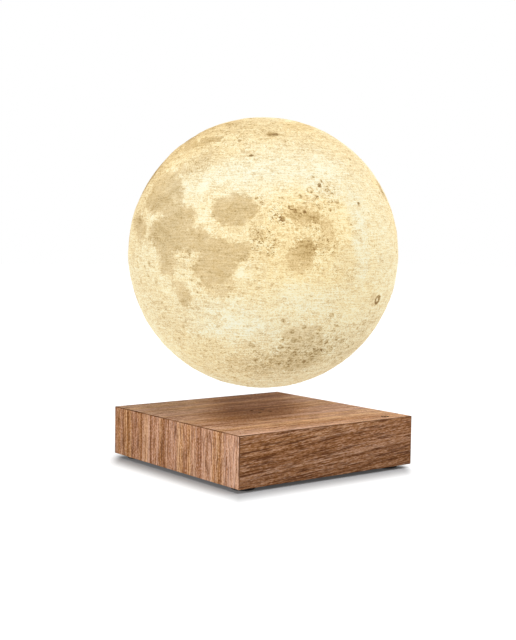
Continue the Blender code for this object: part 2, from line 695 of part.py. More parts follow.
def make_receiver():
    """The coil that takes power from the base, and the board that it feeds."""
    low, high = receiver_floor + FIT_GAP, cap_top - FIT_GAP
    coil = ring("receiver_coil", receiver_outer, receiver_inner, low, high, (0, 0, 0), COPPER)
    seat = (driver_board_bottom + driver_board_top) / 2
    board = rod("driver_board", cap_radius, DRIVER_BOARD_THICKNESS, (0, 0, seat), CIRCUIT_BOARD, WIDE_STEPS)
    ring_place = (LED_POST_FLANGE_RADIUS + cap_radius) / 2
    top = driver_board_top + FIT_GAP
    place = (ring_place, 0, top + DRIVER_CAPACITOR_HEIGHT / 2)
    can = rod(
        "driver_capacitor", DRIVER_CAPACITOR_RADIUS, DRIVER_CAPACITOR_HEIGHT, place, ALUMINIUM, SMALL_STEPS
    )
    size = (DRIVER_CHIP_SIDE, DRIVER_CHIP_SIDE, DRIVER_CHIP_HEIGHT)
    chip = box("driver_chip", size, (-ring_place, 0, top + DRIVER_CHIP_HEIGHT / 2), BLACK_PLASTIC)
    return [coil, board, can, chip]


def make_light():
    """A post that lifts the light board, its ring of LEDs and the small dome over them."""
    outline = [
        (0, led_post_top),
        (LED_POST_RADIUS, led_post_top),
        (LED_POST_RADIUS, led_post_bottom + LED_POST_FLANGE),
        (LED_POST_FLANGE_RADIUS, led_post_bottom + LED_POST_FLANGE),
        (LED_POST_FLANGE_RADIUS, led_post_bottom),
        (0, led_post_bottom),
    ]
    post = turned("led_post", outline, (0, 0, 0), ALUMINIUM, COIL_STEPS)
    middle = (led_board_bottom + led_board_top) / 2
    board = rod("led_board", LED_BOARD_RADIUS, LED_BOARD_THICKNESS, (0, 0, middle), ALUMINIUM, COIL_STEPS)
    pieces = [post, board]
    for i in range(LED_COUNT):
        angle = 2 * math.pi * i / LED_COUNT
        place = (
            LED_PITCH_RADIUS * math.cos(angle),
            LED_PITCH_RADIUS * math.sin(angle),
            led_board_top + FIT_GAP + LED_HEIGHT / 2,
        )
        pieces.append(box(f"led_{i + 1}", (LED_SIDE, LED_SIDE, LED_HEIGHT), place, LED_WINDOW))
        pieces[-1].rotation_euler = (0, 0, angle)
    outer = arc(LED_BOARD_RADIUS, 0, math.pi / 2, DOME_ARC_STEPS)
    inner = arc(LED_BOARD_RADIUS - DIFFUSER_WALL, math.pi / 2, 0, DOME_ARC_STEPS)
    outer[0] = (0, LED_BOARD_RADIUS)
    inner[-1] = (0, LED_BOARD_RADIUS - DIFFUSER_WALL)
    rim = led_board_top + FIT_GAP
    dome = [(reach, rim + height) for reach, height in outer + inner]
    pieces.append(turned("led_diffuser", dome, (0, 0, 0), OPAL, COIL_STEPS, glow=1))
    return pieces


def make_moon():
    """The moon on its spin axis, and the magnet that floats over the base and carries it."""
    lift = bpy.data.objects.new("lift_axis", None)
    spin = bpy.data.objects.new("spin_axis", None)
    lamp.objects.link(lift)
    lamp.objects.link(spin)
    lift.location = (0, 0, moon_centre)
    spin.parent = lift
    middle = (magnet_bottom + magnet_top) / 2
    magnet = rod("levitation_magnet", MAGNET_RADIUS, MAGNET_HEIGHT, (0, 0, middle), NICKEL, WIDE_STEPS)
    magnet.parent = lift
    pieces = [make_moon_shell(), make_moon_cap(), make_collar()] + make_receiver() + make_light()
    for piece in pieces:
        piece.parent = spin


make_case()
make_plate()
for corner_name, (corner_x, corner_y) in CORNERS.items():
    make_foot(corner_name, corner_x, corner_y)
make_screws()
make_main_board()
make_jack()
make_heat_sink()
make_capacitor()
make_touch_sensor()
make_tray()
make_levitation_magnets()
for side_name, (side_x, side_y) in SIDES.items():
    make_steering_coil(side_name, side_x, side_y)
make_sensors()
make_moon()
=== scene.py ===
import json
import math

import bmesh
import bpy
import numpy as np
from mathutils import Matrix, Vector


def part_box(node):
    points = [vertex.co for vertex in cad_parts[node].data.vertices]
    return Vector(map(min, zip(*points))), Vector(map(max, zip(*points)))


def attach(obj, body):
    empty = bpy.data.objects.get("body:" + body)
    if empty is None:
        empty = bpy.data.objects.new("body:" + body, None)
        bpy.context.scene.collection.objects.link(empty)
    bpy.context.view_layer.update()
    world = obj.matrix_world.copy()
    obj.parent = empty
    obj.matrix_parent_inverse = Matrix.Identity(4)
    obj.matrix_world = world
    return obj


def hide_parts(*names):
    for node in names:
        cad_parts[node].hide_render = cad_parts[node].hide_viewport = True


# The looks of a floating moon lamp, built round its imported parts. Metres, +Z up, the front at -Y.

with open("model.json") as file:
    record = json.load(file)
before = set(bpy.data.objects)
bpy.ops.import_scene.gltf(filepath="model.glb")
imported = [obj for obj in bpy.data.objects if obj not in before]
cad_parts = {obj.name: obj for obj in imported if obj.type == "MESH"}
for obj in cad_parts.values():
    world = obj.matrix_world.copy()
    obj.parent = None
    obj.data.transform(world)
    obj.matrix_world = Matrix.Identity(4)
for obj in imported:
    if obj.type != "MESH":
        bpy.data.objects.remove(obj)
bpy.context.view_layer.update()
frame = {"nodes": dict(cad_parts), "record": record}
print("frame loaded")

mm = 0.001

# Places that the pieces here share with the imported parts
caseLow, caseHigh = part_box("wood_case")
plateLow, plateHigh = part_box("bottom_plate")
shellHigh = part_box("moon_shell")[1]
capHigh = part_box("moon_cap")[1]
magnetLow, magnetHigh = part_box("levitation_magnet")
receiverLow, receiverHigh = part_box("receiver_coil")
fitGap = capHigh.z - magnetHigh.z  # between neighbours
moonRadius = shellHigh.x
moonCentre = Vector((0, 0, shellHigh.z - moonRadius))


# Shaders

class Wire:  # a socket, on which shader sums are written as plain expressions
    def __init__(self, sheet, socket):
        self.sheet, self.socket = sheet, socket

    def sum(self, operation, first, second):
        return self.sheet.node("Math", {"operation": operation}, {0: first, 1: second})

    def __add__(self, other):
        return self.sum("ADD", self, other)

    def __sub__(self, other):
        return self.sum("SUBTRACT", self, other)

    def __rsub__(self, other):
        return self.sum("SUBTRACT", other, self)

    def __mul__(self, other):
        return self.sum("MULTIPLY", self, other)

    def __truediv__(self, other):
        return self.sum("DIVIDE", self, other)

    def __pow__(self, other):
        return self.sum("POWER", self, other)

    def __abs__(self):
        return self.sum("ABSOLUTE", self, 0)

    __radd__ = __add__
    __rmul__ = __mul__

    def above(self, other):
        return self.sum("MAXIMUM", self, other)

    def ease(self, low, high):  # 0 up to low, 1 from high on
        settings = {"interpolation_type": "SMOOTHSTEP"}
        return self.sheet.node("MapRange", settings, {"Value": self, "From Min": low, "From Max": high})

    def ramp(self, *stops):  # colours at places from 0 to 1
        return self.sheet.node("ValToRGB", {"stops": stops}, {"Fac": self})

    def part(self, output):  # another output of the same node
        return Wire(self.sheet, self.socket.node.outputs[output])


class Sheet:  # the nodes of one material or world
    def __init__(self, owner):
        owner.use_nodes = True
        self.owner, self.tree = owner, owner.node_tree
        self.tree.nodes.clear()

    def node(self, kind, settings, inputs, output=0):
        made = self.tree.nodes.new("ShaderNode" + kind)
        for name, value in settings.items():
            if name == "stops":
                stops = made.color_ramp.elements
                while len(stops) < len(value):
                    stops.new(0.5)
                for stop, (place, colour) in zip(stops, value):
                    stop.position, stop.color = place, (*colour, 1)
            else:
                setattr(made, name, value)
        for name, value in inputs.items():
            socket = made.inputs[name]
            if isinstance(value, Wire):
                self.tree.links.new(value.socket, socket)
            elif socket.type == "RGBA":
                socket.default_value = (*value, 1)
            else:
                socket.default_value = value
        return Wire(self, made.outputs[output]) if made.outputs else None

    def place(self):  # a point of the surface, in metres, in the frame of the parts at rest
        return self.node("TexCoord", {}, {}, "Object")

    def axes(self):  # the three measures of that point
        x = self.node("SeparateXYZ", {}, {"Vector": self.place()})
        return x, x.part("Y"), x.part("Z")

    def point(self, x, y, z):
        return self.node("CombineXYZ", {}, {"X": x, "Y": y, "Z": z})

    def noise(self, point, scale=1, detail=2, roughness=0.5):
        inputs = {"Vector": point, "Scale": scale, "Detail": detail, "Roughness": roughness}
        return self.node("TexNoise", {}, inputs)

    def grain(self, scales, detail=2, roughness=0.5):  # noise that changes so often in a metre of x, y and z
        point = self.node("Mapping", {}, {"Vector": self.place(), "Scale": scales})
        return self.noise(point, 1, detail, roughness)

    def mix(self, share, first, second, how="MIX"):
        settings = {"data_type": "RGBA", "blend_type": how}
        return self.node("Mix", settings, {0: share, 6: first, 7: second}, 2)

    def bump(self, height, depth):
        return self.node("Bump", {}, {"Height": height, "Distance": depth})

    def paint(self, inputs):  # ends a material with its one shader
        shader = self.node("BsdfPrincipled", {}, inputs)
        self.node("OutputMaterial", {}, {"Surface": shader})
        return self.owner


def newSheet(name):
    return Sheet(bpy.data.materials.new(name))


# Walnut. Its lines run along the top and down both ends, and across the front and the back.

walnutLook = {
    "colours": (
        (0.20, (0.160, 0.061, 0.019)),
        (0.36, (0.290, 0.130, 0.051)),
        (0.50, (0.412, 0.206, 0.103)),
        (0.64, (0.510, 0.290, 0.177)),
        (0.80, (0.660, 0.426, 0.302)),
    ),
    # how often in a metre, along the grain and across it, then the noise's seed, detail and roughness
    "figure": (5, 95, 3, 2, 0.55),
    "stripes": (7, 430, 11, 4, 0.8),
    "fibres": (34, 1400, 23, 2, 0.8),
    "pores": (105, 2100, 31, 1, 0.55),
    "openings": (88, 1300, 59, 1, 0.55),
    "veins": (14, 380, 83, 2, 0.55),  # long dark streaks
    "flecks": (900, 1700, 47, 1, 0.55),
    "hues": (5, 140, 71, 2, 0.55),
    "waves": (16, 45, 0, 2, 0.5),
    "waveDepth": 1.6 * mm,
    "toneShares": (0.26, 0.44, 0.3),  # of the figure, the stripes and the fibres
    "fleckContrast": 1.05,
    "poreRange": (0.56, 0.65),  # from where in the noise a pore shows, to where it is full
    "openingRange": (0.57, 0.64),
    "veinRange": (0.6, 0.7),
    "hueRange": (0.38, 0.62),
    "poreShade": 0.66,
    "veinShade": 0.42,
    "poreColour": (0.1, 0.033, 0.012),
    "poreDepth": 0.05 * mm,
    "fibreRise": 0.4,  # as a share of that depth
    "roughness": (0.55, 0.12, 0.15),  # the least, and what fibres and pores add
    "gloss": 0.04,
    "wrapSheet": {
        "seed": 4.2,
        "contrast": 2.9,
        "hueTints": ((1.07, 1.02, 0.85), (0.98, 0.94, 0.99)),
        "openingShade": 0.6,
    },
    # how light the wood is, from the front to the rear. On the top it is partly the wood's own tone and partly
    # painted light: the rear is lighter to make up for the moon's shade there.
    "topBands": ((0.0, 0.68), (0.26, 0.67), (0.4, 0.67), (0.54, 0.71), (0.7, 0.74), (1.0, 0.74)),
    "endBands": ((0.0, 0.69), (0.5, 0.62), (1.0, 0.53)),
    "topTint": (1, 1.045, 1.06),
    "endTint": (1.02, 0.995, 0.945),
    "edgeTurn": (0.1 * mm, 0.3 * mm),  # how far down the top's finish gives way to the ends'
    "panelSheet": {
        "seed": 17.6,
        "contrast": 2.3,
        "tint": (0.92, 0.86, 0.78),
        "hueTints": ((1.02, 1.0, 0.94), (0.995, 0.985, 1.0)),
        "openingShade": 0.78,
        "stripes": (8, 590, 11, 4, 0.8),
        "openings": (70, 1500, 59, 1, 0.55),
        "flecks": (520, 2300, 47, 1, 0.55),
    },
    # darker than the top and the ends: partly the wood's own tone and partly a painted shade on the front and
    # the back
    "panelLevel": 0.48,
    "panelSlant": (-0.075, 0.35),  # how far its lines rise along the front, and with the depth
    "moonShadowMiddle": (-3 * mm, 0.68),  # a painted shadow of the moon runs slantwise over the rear of the top
    "moonShadowWidth": 33 * mm,
    "moonShadowSoft": (0.35, 1.35),  # where its edge begins and ends, in widths
    "moonShadowStart": (-46 * mm, 8 * mm),
    "moonShadowDarkness": 0.45,
}


def walnut(sheet, along, across, level, own):
    look = {**walnutLook, **own}

    def lines(kind):
        oftenAlong, oftenAcross, seed, detail, roughness = look[kind]
        point = sheet.point(along * oftenAlong, across * oftenAcross, look["seed"] + seed)
        return sheet.noise(point, 1, detail, roughness)

    across = across + (lines("waves") - 0.5) * look["waveDepth"]
    fibres, flecks = lines("fibres"), lines("flecks")
    pores, openings = lines("pores").ease(*look["poreRange"]), lines("openings").ease(*look["openingRange"])
    veins = lines("veins").ease(*look["veinRange"])
    hue = sheet.mix(lines("hues").ease(*look["hueRange"]), *look["hueTints"])
    figureShare, stripeShare, fibreShare = look["toneShares"]
    tone = lines("figure") * figureShare + lines("stripes") * stripeShare + fibres * fibreShare - 0.5
    tone = tone * look["contrast"] + (flecks - 0.5) * look["fleckContrast"] + level
    colour = tone.ramp(*look["colours"])
    for mask, shade in ((pores, "poreShade"), (openings, "openingShade"), (veins, "veinShade")):
        colour = sheet.mix(mask * look[shade], colour, look["poreColour"])
    for tint in (look["tint"], hue):
        colour = sheet.mix(1, colour, tint, "MULTIPLY")
    least, fibreRough, poreRough = look["roughness"]
    return sheet.paint({
        "Base Color": colour,
        "Roughness": least + fibres * fibreRough + pores * poreRough,
        "Specular IOR Level": look["gloss"],
        "Normal": sheet.bump(fibres * look["fibreRise"] + flecks - pores - openings, look["poreDepth"]),
    })


def walnutWrap():  # the sheet over the top, which turns down over both ends
    look = walnutLook
    sheet = newSheet("walnutWrap")
    x, y, z = sheet.axes()
    down = caseHigh.z - z
    along = x + sheet.node("Math", {"operation": "SIGN"}, {0: x}) * down
    share = (y - caseLow.y) / (caseHigh.y - caseLow.y)

    def lightness(bands):
        return share.ramp(*((spot, (tone, tone, tone)) for spot, tone in look[bands]))

    # a painted shadow of the moon: a slanting dark band over the rear of the top
    middle, slope = look["moonShadowMiddle"]
    aside = abs(along - y * slope - middle) / look["moonShadowWidth"]
    paintedMoonShadow = (1 - aside.ease(*look["moonShadowSoft"])) * y.ease(*look["moonShadowStart"])
    turned = down.ease(*look["edgeTurn"])
    level = sheet.mix(turned, lightness("topBands"), lightness("endBands")) - paintedMoonShadow * look["moonShadowDarkness"]
    tint = sheet.mix(turned, look["topTint"], look["endTint"])
    return walnut(sheet, along, y, level, {**look["wrapSheet"], "tint": tint})


def walnutPanel():  # the front and the back, partly darkened by a painted shade
    look = walnutLook
    sheet = newSheet("walnutPanel")
    x, y, z = sheet.axes()
    rise, turn = look["panelSlant"]
    return walnut(sheet, x, z + x * rise + y * turn, look["panelLevel"], look["panelSheet"])


woodLooks = {
    # grain: how often it changes in a metre, then the detail and roughness of its noise
    # surface: roughness, gloss and depth
    "walnutSeam": {  # the thin edge where two sheets meet
        "grain": ((90, 90, 90), 3, 0.5),
        "colours": ((0.35, (0.085, 0.034, 0.015)), (0.65, (0.23, 0.11, 0.055))),
        "surface": (0.75, 0.04, 0.05 * mm),
    },
    "burntWood": {  # the floor and the walls of the marks
        "grain": ((900, 3200, 900), 2, 0.5),
        "colours": ((0.3, (0.008, 0.005, 0.004)), (0.7, (0.03, 0.015, 0.009))),
        "surface": (0.8, 0.05, 0.04 * mm),
    },
    "rawWood": {  # the unfinished inside of the case
        "grain": ((40, 900, 900), 3, 0.6),
        "colours": ((0.3, (0.22, 0.12, 0.065)), (0.7, (0.4, 0.25, 0.15))),
        "surface": (0.85, 0.5, 0.08 * mm),
    },
}


def plainWood(name):
    look = woodLooks[name]
    sheet = newSheet(name)
    grain = sheet.grain(*look["grain"])
    roughness, gloss, depth = look["surface"]
    return sheet.paint({
        "Base Color": grain.ramp(*look["colours"]),
        "Roughness": roughness,
        "Specular IOR Level": gloss,
        "Normal": sheet.bump(grain, depth),
    })


# Finishes of the smaller parts: their darker and their lighter shade, roughness, whether they are metal, how
# often their grain changes in a metre, and its depth

finishLooks = {
    "rubber_feet": ((0.008, 0.008, 0.008), (0.024, 0.023, 0.022), 0.82, 0, (3500, 3500, 3500), 0.03 * mm),
    "black_plastic": ((0.013, 0.013, 0.014), (0.03, 0.03, 0.033), 0.5, 0, (2600, 2600, 2600), 0.02 * mm),
    "tray_plastic": ((0.2, 0.21, 0.225), (0.29, 0.3, 0.32), 0.48, 0, (2000, 2000, 2000), 0.02 * mm),
    "screw_steel": ((0.42, 0.42, 0.43), (0.62, 0.62, 0.63), 0.3, 1, (600, 600, 5200), 0.01 * mm),
    "nickel": ((0.62, 0.6, 0.56), (0.76, 0.74, 0.7), 0.16, 1, (120, 120, 700), 0.004 * mm),
    "core_iron": ((0.13, 0.13, 0.135), (0.26, 0.255, 0.25), 0.42, 1, (900, 900, 900), 0.02 * mm),
    "ferrite": ((0.03, 0.03, 0.033), (0.075, 0.075, 0.08), 0.6, 0, (1500, 1500, 1500), 0.03 * mm),
    "bare_aluminium": ((0.66, 0.67, 0.69), (0.82, 0.83, 0.85), 0.3, 1, (250, 250, 4200), 0.008 * mm),
    "opal_plastic": ((0.84, 0.84, 0.82), (0.92, 0.92, 0.9), 0.38, 0, (700, 700, 700), 0.01 * mm),
}
cloudLook = {"noise": (60, 3), "share": 0.55, "stops": (0.32, 0.68), "roughness": 0.22}  # the same on all


def smallFinish(slot):
    dark, light, roughness, metal, often, depth = finishLooks[slot]
    look = cloudLook
    sheet = newSheet(slot)
    grain, cloud = sheet.grain(often), sheet.noise(sheet.place(), *look["noise"])
    low, high = look["stops"]
    tone = grain * (1 - look["share"]) + cloud * look["share"]
    return sheet.paint({
        "Base Color": tone.ramp((low, dark), (high, light)),
        "Roughness": roughness + (cloud - 0.5) * look["roughness"],
        "Metallic": metal,
        "Normal": sheet.bump(grain, depth),
    })


copperLook = {
    "pitch": 0.32 * mm,
    "colours": ((0.15, (0.3, 0.1, 0.04)), (0.75, (0.8, 0.37, 0.18))),
    "clouds": 400,
    "tone": (0.2, 0.22, 0.6),  # the least, what the turns add as painted light and shade, and what clouds add
    "roughness": (0.22, 0.15),
    "lacquer": 0.4,
    "depth": 0.05 * mm,
}


def windings():  # enamelled copper wire, turn on turn, with a painted shade between the turns
    look = copperLook
    sheet = newSheet("copper")
    height = sheet.axes()[2]
    turns = sheet.node("Math", {"operation": "SINE"}, {0: height * (2 * math.pi / look["pitch"])})
    cloud = sheet.noise(sheet.place(), look["clouds"])
    plain, grooveShade, cloudShade = look["tone"]
    least, swing = look["roughness"]
    return sheet.paint({
        "Base Color": (turns * grooveShade + cloud * cloudShade + plain).ramp(*look["colours"]),
        "Roughness": least + cloud * swing,
        "Metallic": 1,
        "Coat Weight": look["lacquer"],
        "Normal": sheet.bump(turns, look["depth"]),
    })


boardLook = {
    "tracks": (260, 0.75, 0.03, 0.07),  # how often in a metre, how uneven, and where their edge lies
    "pads": (210, 0.5, 0.15, 0.19),
    "maskColour": (0.012, 0.12, 0.05),
    "trackColour": (0.03, 0.23, 0.09),
    "padColour": (0.72, 0.7, 0.66),
    "roughness": (0.38, -0.1),  # of the mask, and what pads add
    "padRise": 2,  # how much further than the tracks they stand out
    "depth": 0.03 * mm,
}


def circuitBoard():  # green mask over copper tracks, with tinned pads
    look = boardLook
    sheet = newSheet("circuit_board")
    place = sheet.place()

    def cells(kind, settings):
        often, uneven, *edge = look[kind]
        inputs = {"Vector": place, "Scale": often, "Randomness": uneven}
        return 1 - sheet.node("TexVoronoi", settings, inputs, "Distance").ease(*edge)

    tracks, pads = cells("tracks", {"feature": "DISTANCE_TO_EDGE"}), cells("pads", {})
    colour = sheet.mix(tracks, look["maskColour"], look["trackColour"])
    plain, padRough = look["roughness"]
    return sheet.paint({
        "Base Color": sheet.mix(pads, colour, look["padColour"]),
        "Roughness": plain + pads * padRough,
        "Metallic": pads,
        "Normal": sheet.bump(tracks + pads * look["padRise"], look["depth"]),
    })


windowLook = {
    "grain": 2500,
    "colours": ((0.3, (0.9, 0.72, 0.3)), (0.7, (1, 0.86, 0.5))),
    "roughness": 0.3,
    "glow": 2,
}


def ledWindow():  # the yellow face of a light chip
    look = windowLook
    sheet = newSheet("led_window")
    colour = sheet.noise(sheet.place(), look["grain"]).ramp(*look["colours"])
    inputs = {"Base Color": colour, "Roughness": look["roughness"]}
    return sheet.paint({**inputs, "Emission Color": colour, "Emission Strength": look["glow"]})


# The moon's own colours

printLook = {
    "colours": (
        (0.00, (0.270, 0.160, 0.062)),
        (0.18, (0.440, 0.306, 0.138)),
        (0.34, (0.620, 0.474, 0.255)),
        (0.52, (0.755, 0.595, 0.360)),
        (0.72, (0.905, 0.765, 0.495)),
        (0.88, (0.945, 0.870, 0.608)),
        (1.00, (0.965, 0.925, 0.725)),
    ),
    "warm": (1.07, 1, 0.82),
    "cool": (0.965, 0.99, 1.005),
    "ground": 0.77,  # the tone of plain ground, between 0 and 1
    "glow": 0.78,  # the share of the brightness that comes from the lamp inside
    # noises: how often they change in a metre of x, y and z, then their detail and roughness
    "layers": ((170, 170, 1500), 1),  # as a printer leaves them
    "layerShade": 0.7,
    "grains": ((900, 900, 1600), 0),
    "grainShade": 0.38,
    "specks": ((1500, 1500, 2200), 0),
    "speckShade": 0.74,
    "mottle": ((420, 420, 720), 3, 0.6),
    "mottleShade": 0.1,
    "mottleWarmth": 0.9,
    "seaCalm": 0.55,  # how much of the grain the seas keep
    "seaGround": 0.75,  # how much of the ground's tone shows in them
    "seaBlots": 0.4,
    "seaPits": 0.3,
    "shore": ((280, 280, 400), 5, 0.76),  # the ragged outline of the seas
    "shoreWander": 9.5,  # degrees
    "shoreSoft": (-1, 1),
    "seaTone": 0.43,
    "seaClouds": ((55, 55, 110), 5, 0.66),
    "seaCloudShade": 0.48,
    "blots": ((600, 600, 950), 3, 0.6),
    "blotRange": (0.04, 0.11),
    "blotShade": 0.75,
    "curls": ((330, 330, 470), 2, 0.6),  # thin broken lines, as of worn crater rims
    "curlWidth": (0.008, 0.032),
    "curlBreaks": (-0.08, 0.06),
    "curlShade": 1.1,
    "curlLip": ((0.03, 0.05), (0.06, 0.1)),
    "curlLight": 0.7,
    "pits": (300, 620),
    "pitChance": (0.55, 0.75),
    "pitRim": (0.14, 0.26, 0.4),  # where it begins, is darkest and ends
    "pitShade": 0.13,
    "rimShade": 0.6,  # more of it on rough ground
    "reliefShares": (0.6, 0.5, 0.7),  # of the blots and curls, the grains and the pits, in the depth
    "depth": 0.14 * mm,
    "roughness": 0.72,
    "gloss": 0.15,
}


def moonPrint():
    look = printLook
    sheet = newSheet("moon_print")

    def painted(name):  # what makeMoonPiece stored in the mesh
        return sheet.node("Attribute", {"attribute_name": name}, {}, "Fac")

    def speckle(kind):  # noise about 0
        return sheet.grain(*look[kind]) - 0.5

    ground, warmth, rough = painted("tone"), painted("warmth"), painted("blots")
    layers, grains, specks, mottle = (speckle(kind) for kind in ("layers", "grains", "specks", "mottle"))
    shore = painted("shore") + speckle("shore") * look["shoreWander"]
    sea = shore.ease(*look["shoreSoft"]) * painted("sea")
    seaTone = look["seaTone"] + speckle("seaClouds") * look["seaCloudShade"]
    seaTone = seaTone + (ground - look["ground"]) * look["seaGround"]
    blots = speckle("blots").ease(*look["blotRange"]) * rough * look["blotShade"]
    swing = abs(speckle("curls"))
    breaks = grains.ease(*look["curlBreaks"])
    curls = (1 - swing.ease(*look["curlWidth"])) * breaks * rough * look["curlShade"]
    lipInside, lipOutside = look["curlLip"]
    lips = swing.ease(*lipInside) * (1 - swing.ease(*lipOutside)) * rough * look["curlLight"]
    plain = ground + lips - blots - curls
    plain = plain + (seaTone - (blots + curls) * look["seaBlots"] - plain) * sea
    grain = layers * look["layerShade"] + grains * look["grainShade"]
    grain = grain + specks * look["speckShade"] + mottle * look["mottleShade"]
    tone = plain + grain * (1 - sea * (1 - look["seaCalm"]))
    start, darkest, end = look["pitRim"]
    pits = 0
    for often in look["pits"]:
        cells = sheet.node("TexVoronoi", {}, {"Vector": sheet.place(), "Scale": often}, "Distance")
        chance = cells.part("Color").ease(*look["pitChance"])
        rim = cells.ease(start, darkest) * (1 - cells.ease(darkest, end))
        pits = rim * chance + pits
    pits = pits * (1 - sea * (1 - look["seaPits"]))
    tone = tone - pits * (rough * look["rimShade"] + look["pitShade"])
    tinge = sheet.mix(warmth + mottle * look["mottleWarmth"], look["cool"], look["warm"])
    colour = sheet.mix(1, tone.ramp(*look["colours"]), tinge, "MULTIPLY")
    lamp = look["glow"]
    plainShare, grainShare, pitShare = look["reliefShares"]
    relief = plain * plainShare + layers + grains * grainShare - pits * pitShare
    return sheet.paint({
        "Base Color": sheet.mix(1, colour, (1 - lamp, 1 - lamp, 1 - lamp), "MULTIPLY"),
        "Roughness": look["roughness"],
        "Specular IOR Level": look["gloss"],
        "Emission Color": colour,
        "Emission Strength": lamp,
        "Normal": sheet.bump(relief, look["depth"]),
    })


finishes = {slot: smallFinish(slot) for slot in finishLooks}
finishes["copper"] = windings()
finishes["circuit_board"] = circuitBoard()
finishes["led_window"] = ledWindow()
finishes["moon_print"] = moonPrint()
finishes["walnut"] = walnutWrap()
walnutFront = walnutPanel()
seamFinish, marksFinish, insideFinish = (plainWood(name) for name in woodLooks)
for name in ("moon_print", "led_window"):
    finishes[name].cycles.emission_sampling = "NONE"  # soft and large enough to be found without aim
print("finishes made")


# Meshes

def wearSlot(piece, slot, body, *nodes):  # the finish, which is not used, the body and the imported parts that a piece stands for
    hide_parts(*nodes)
    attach(piece, body)


def newObject(name, data):
    made = bpy.data.objects.new(name, data)
    bpy.context.scene.collection.objects.link(made)
    return made


def smooth(mesh, sharp):  # shades it smooth, but for edges sharper than so many degrees
    mesh.shade_smooth()
    mesh.set_sharp_from_angle(angle=math.radians(sharp))


def newPiece(name, mesh, *materials, sharp=35):
    for material in materials:
        mesh.materials.append(material)
    smooth(mesh, sharp)
    return newObject(name, mesh)


def ringAt(radius, height, columns):  # even points round the axis
    turns = np.arange(columns) * (2 * math.pi / columns)
    return np.stack((radius * np.cos(turns), radius * np.sin(turns), turns * 0 + height), 1)


def poleAt(height):
    return np.array([[0, 0, height]])


def meshOfRings(name, rings, closed=False):
    # rings are arrays of points round the axis, alike in number, or one point at a pole; outer sides run down
    starts = np.cumsum([0] + [len(ring) for ring in rings])
    pairs = [(i, i + 1) for i in range(len(rings) - 1)]
    if closed:
        pairs.append((len(rings) - 1, 0))
    faces = []
    for upper, lower in pairs:
        first = np.arange(max(len(rings[upper]), len(rings[lower])))
        second = np.roll(first, -1)
        a, b = starts[upper], starts[lower]
        if len(rings[upper]) == 1:
            corners = (first * 0 + a, first + b, second + b)
        elif len(rings[lower]) == 1:
            corners = (first + a, first * 0 + b, second + a)
        else:
            corners = (first + a, first + b, second + b, second + a)
        faces += np.stack(corners, 1).tolist()
    mesh = bpy.data.meshes.new(name)
    mesh.from_pydata(np.concatenate(rings).tolist(), [], faces)
    return mesh


def turnedMesh(name, outline, place, columns=64, axis="Z"):
    # outline is (radius, height) points down the outer side; it closes on itself unless it meets the axis
    rings = [ringAt(*point, columns) if point[0] > 1e-7 else poleAt(point[1]) for point in outline]
    mesh = meshOfRings(name, rings, closed=outline[0][0] > 1e-7)
    turn = Matrix.Rotation(-math.pi / 2, 4, "X") if axis == "Y" else Matrix.Identity(4)
    mesh.transform(Matrix.Translation(place) @ turn)
    return mesh


def roundedEdge(radius, size, steps):
    # a quarter round at the outer edge of a foot or head, from its side to its lower face
    angles = [math.pi / 2 * i / steps for i in range(steps + 1)]
    return [(radius - size + size * math.cos(a), size - size * math.sin(a)) for a in angles]


def filledMesh(name, bm):
    mesh = bpy.data.meshes.new(name)
    bm.to_mesh(mesh)
    bm.free()
    return mesh


def boxMesh(low, high):
    low, high = Vector(low), Vector(high)
    bm = bmesh.new()
    middle = Matrix.Translation((low + high) / 2)
    bmesh.ops.create_cube(bm, size=1, matrix=middle @ Matrix.Diagonal((*(high - low), 1)))
    return filledMesh("block", bm)


def rodMesh(radius, place, low, high, axis="Z", columns=48):
    outline = [(0, high), (radius, high), (radius, low), (0, low)]
    return turnedMesh("rod", outline, place, columns, axis)


def settle(piece):  # makes what its modifiers do part of its mesh
    whole = bpy.data.meshes.new_from_object(piece.evaluated_get(bpy.context.evaluated_depsgraph_get()))
    piece.modifiers.clear()
    piece.data = whole


def roundEdges(piece, size):
    edges = piece.modifiers.new("edges", "BEVEL")
    edges.width, edges.segments = size, 3
    settle(piece)


def carve(piece, meshes, material, operation="DIFFERENCE"):
    # cuts the meshes out of the piece, or joins them to it; the new faces take the material
    tools = []
    for mesh in meshes:
        mesh.materials.clear()
        mesh.materials.append(material)
        tools.append(newObject("tool", mesh))
        step = piece.modifiers.new("carve", "BOOLEAN")
        step.operation, step.object, step.material_mode = operation, tools[-1], "TRANSFER"
    settle(piece)
    for tool in tools:
        bpy.data.objects.remove(tool)


def standing(node):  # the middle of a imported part's foot, its radius and its height
    low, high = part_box(node)
    return Vector(((low.x + high.x) / 2, (low.y + high.y) / 2, low.z)), (high.x - low.x) / 2, high.z - low.z


# The four corners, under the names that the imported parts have
corners = {"front_left": (-1, -1), "front_right": (1, -1), "rear_left": (-1, 1), "rear_right": (1, 1)}


def cornerName(kind, corner):
    return kind + corner.title().replace("_", "")


# Wood case

caseLook = {
    "edge": 0.4 * mm,
    "faceLimits": (0.99, -0.05, 0.7),  # of a face's direction: slanted, upwards, and to the front or the rear
    "wall": 4 * mm,
    "plate": 3 * mm,
    "top": 3.6 * mm,
    "post": 10.5 * mm,
    "postHeight": 13.5 * mm,
    "screwHole": 1.55 * mm,
    "markDepth": 0.3 * mm,
    "dotPitch": 7.2 * mm,
    "dotRadius": 1.1 * mm,
    "touchInset": (13.9 * mm, 6.4 * mm),  # from the right side and from the front
    "touchRing": (2.2 * mm, 1.2 * mm),
    "touchDot": 0.7 * mm,
    "inletRadius": 6 * mm,
    "over": 1 * mm,  # how far a cutter runs past what it cuts
}


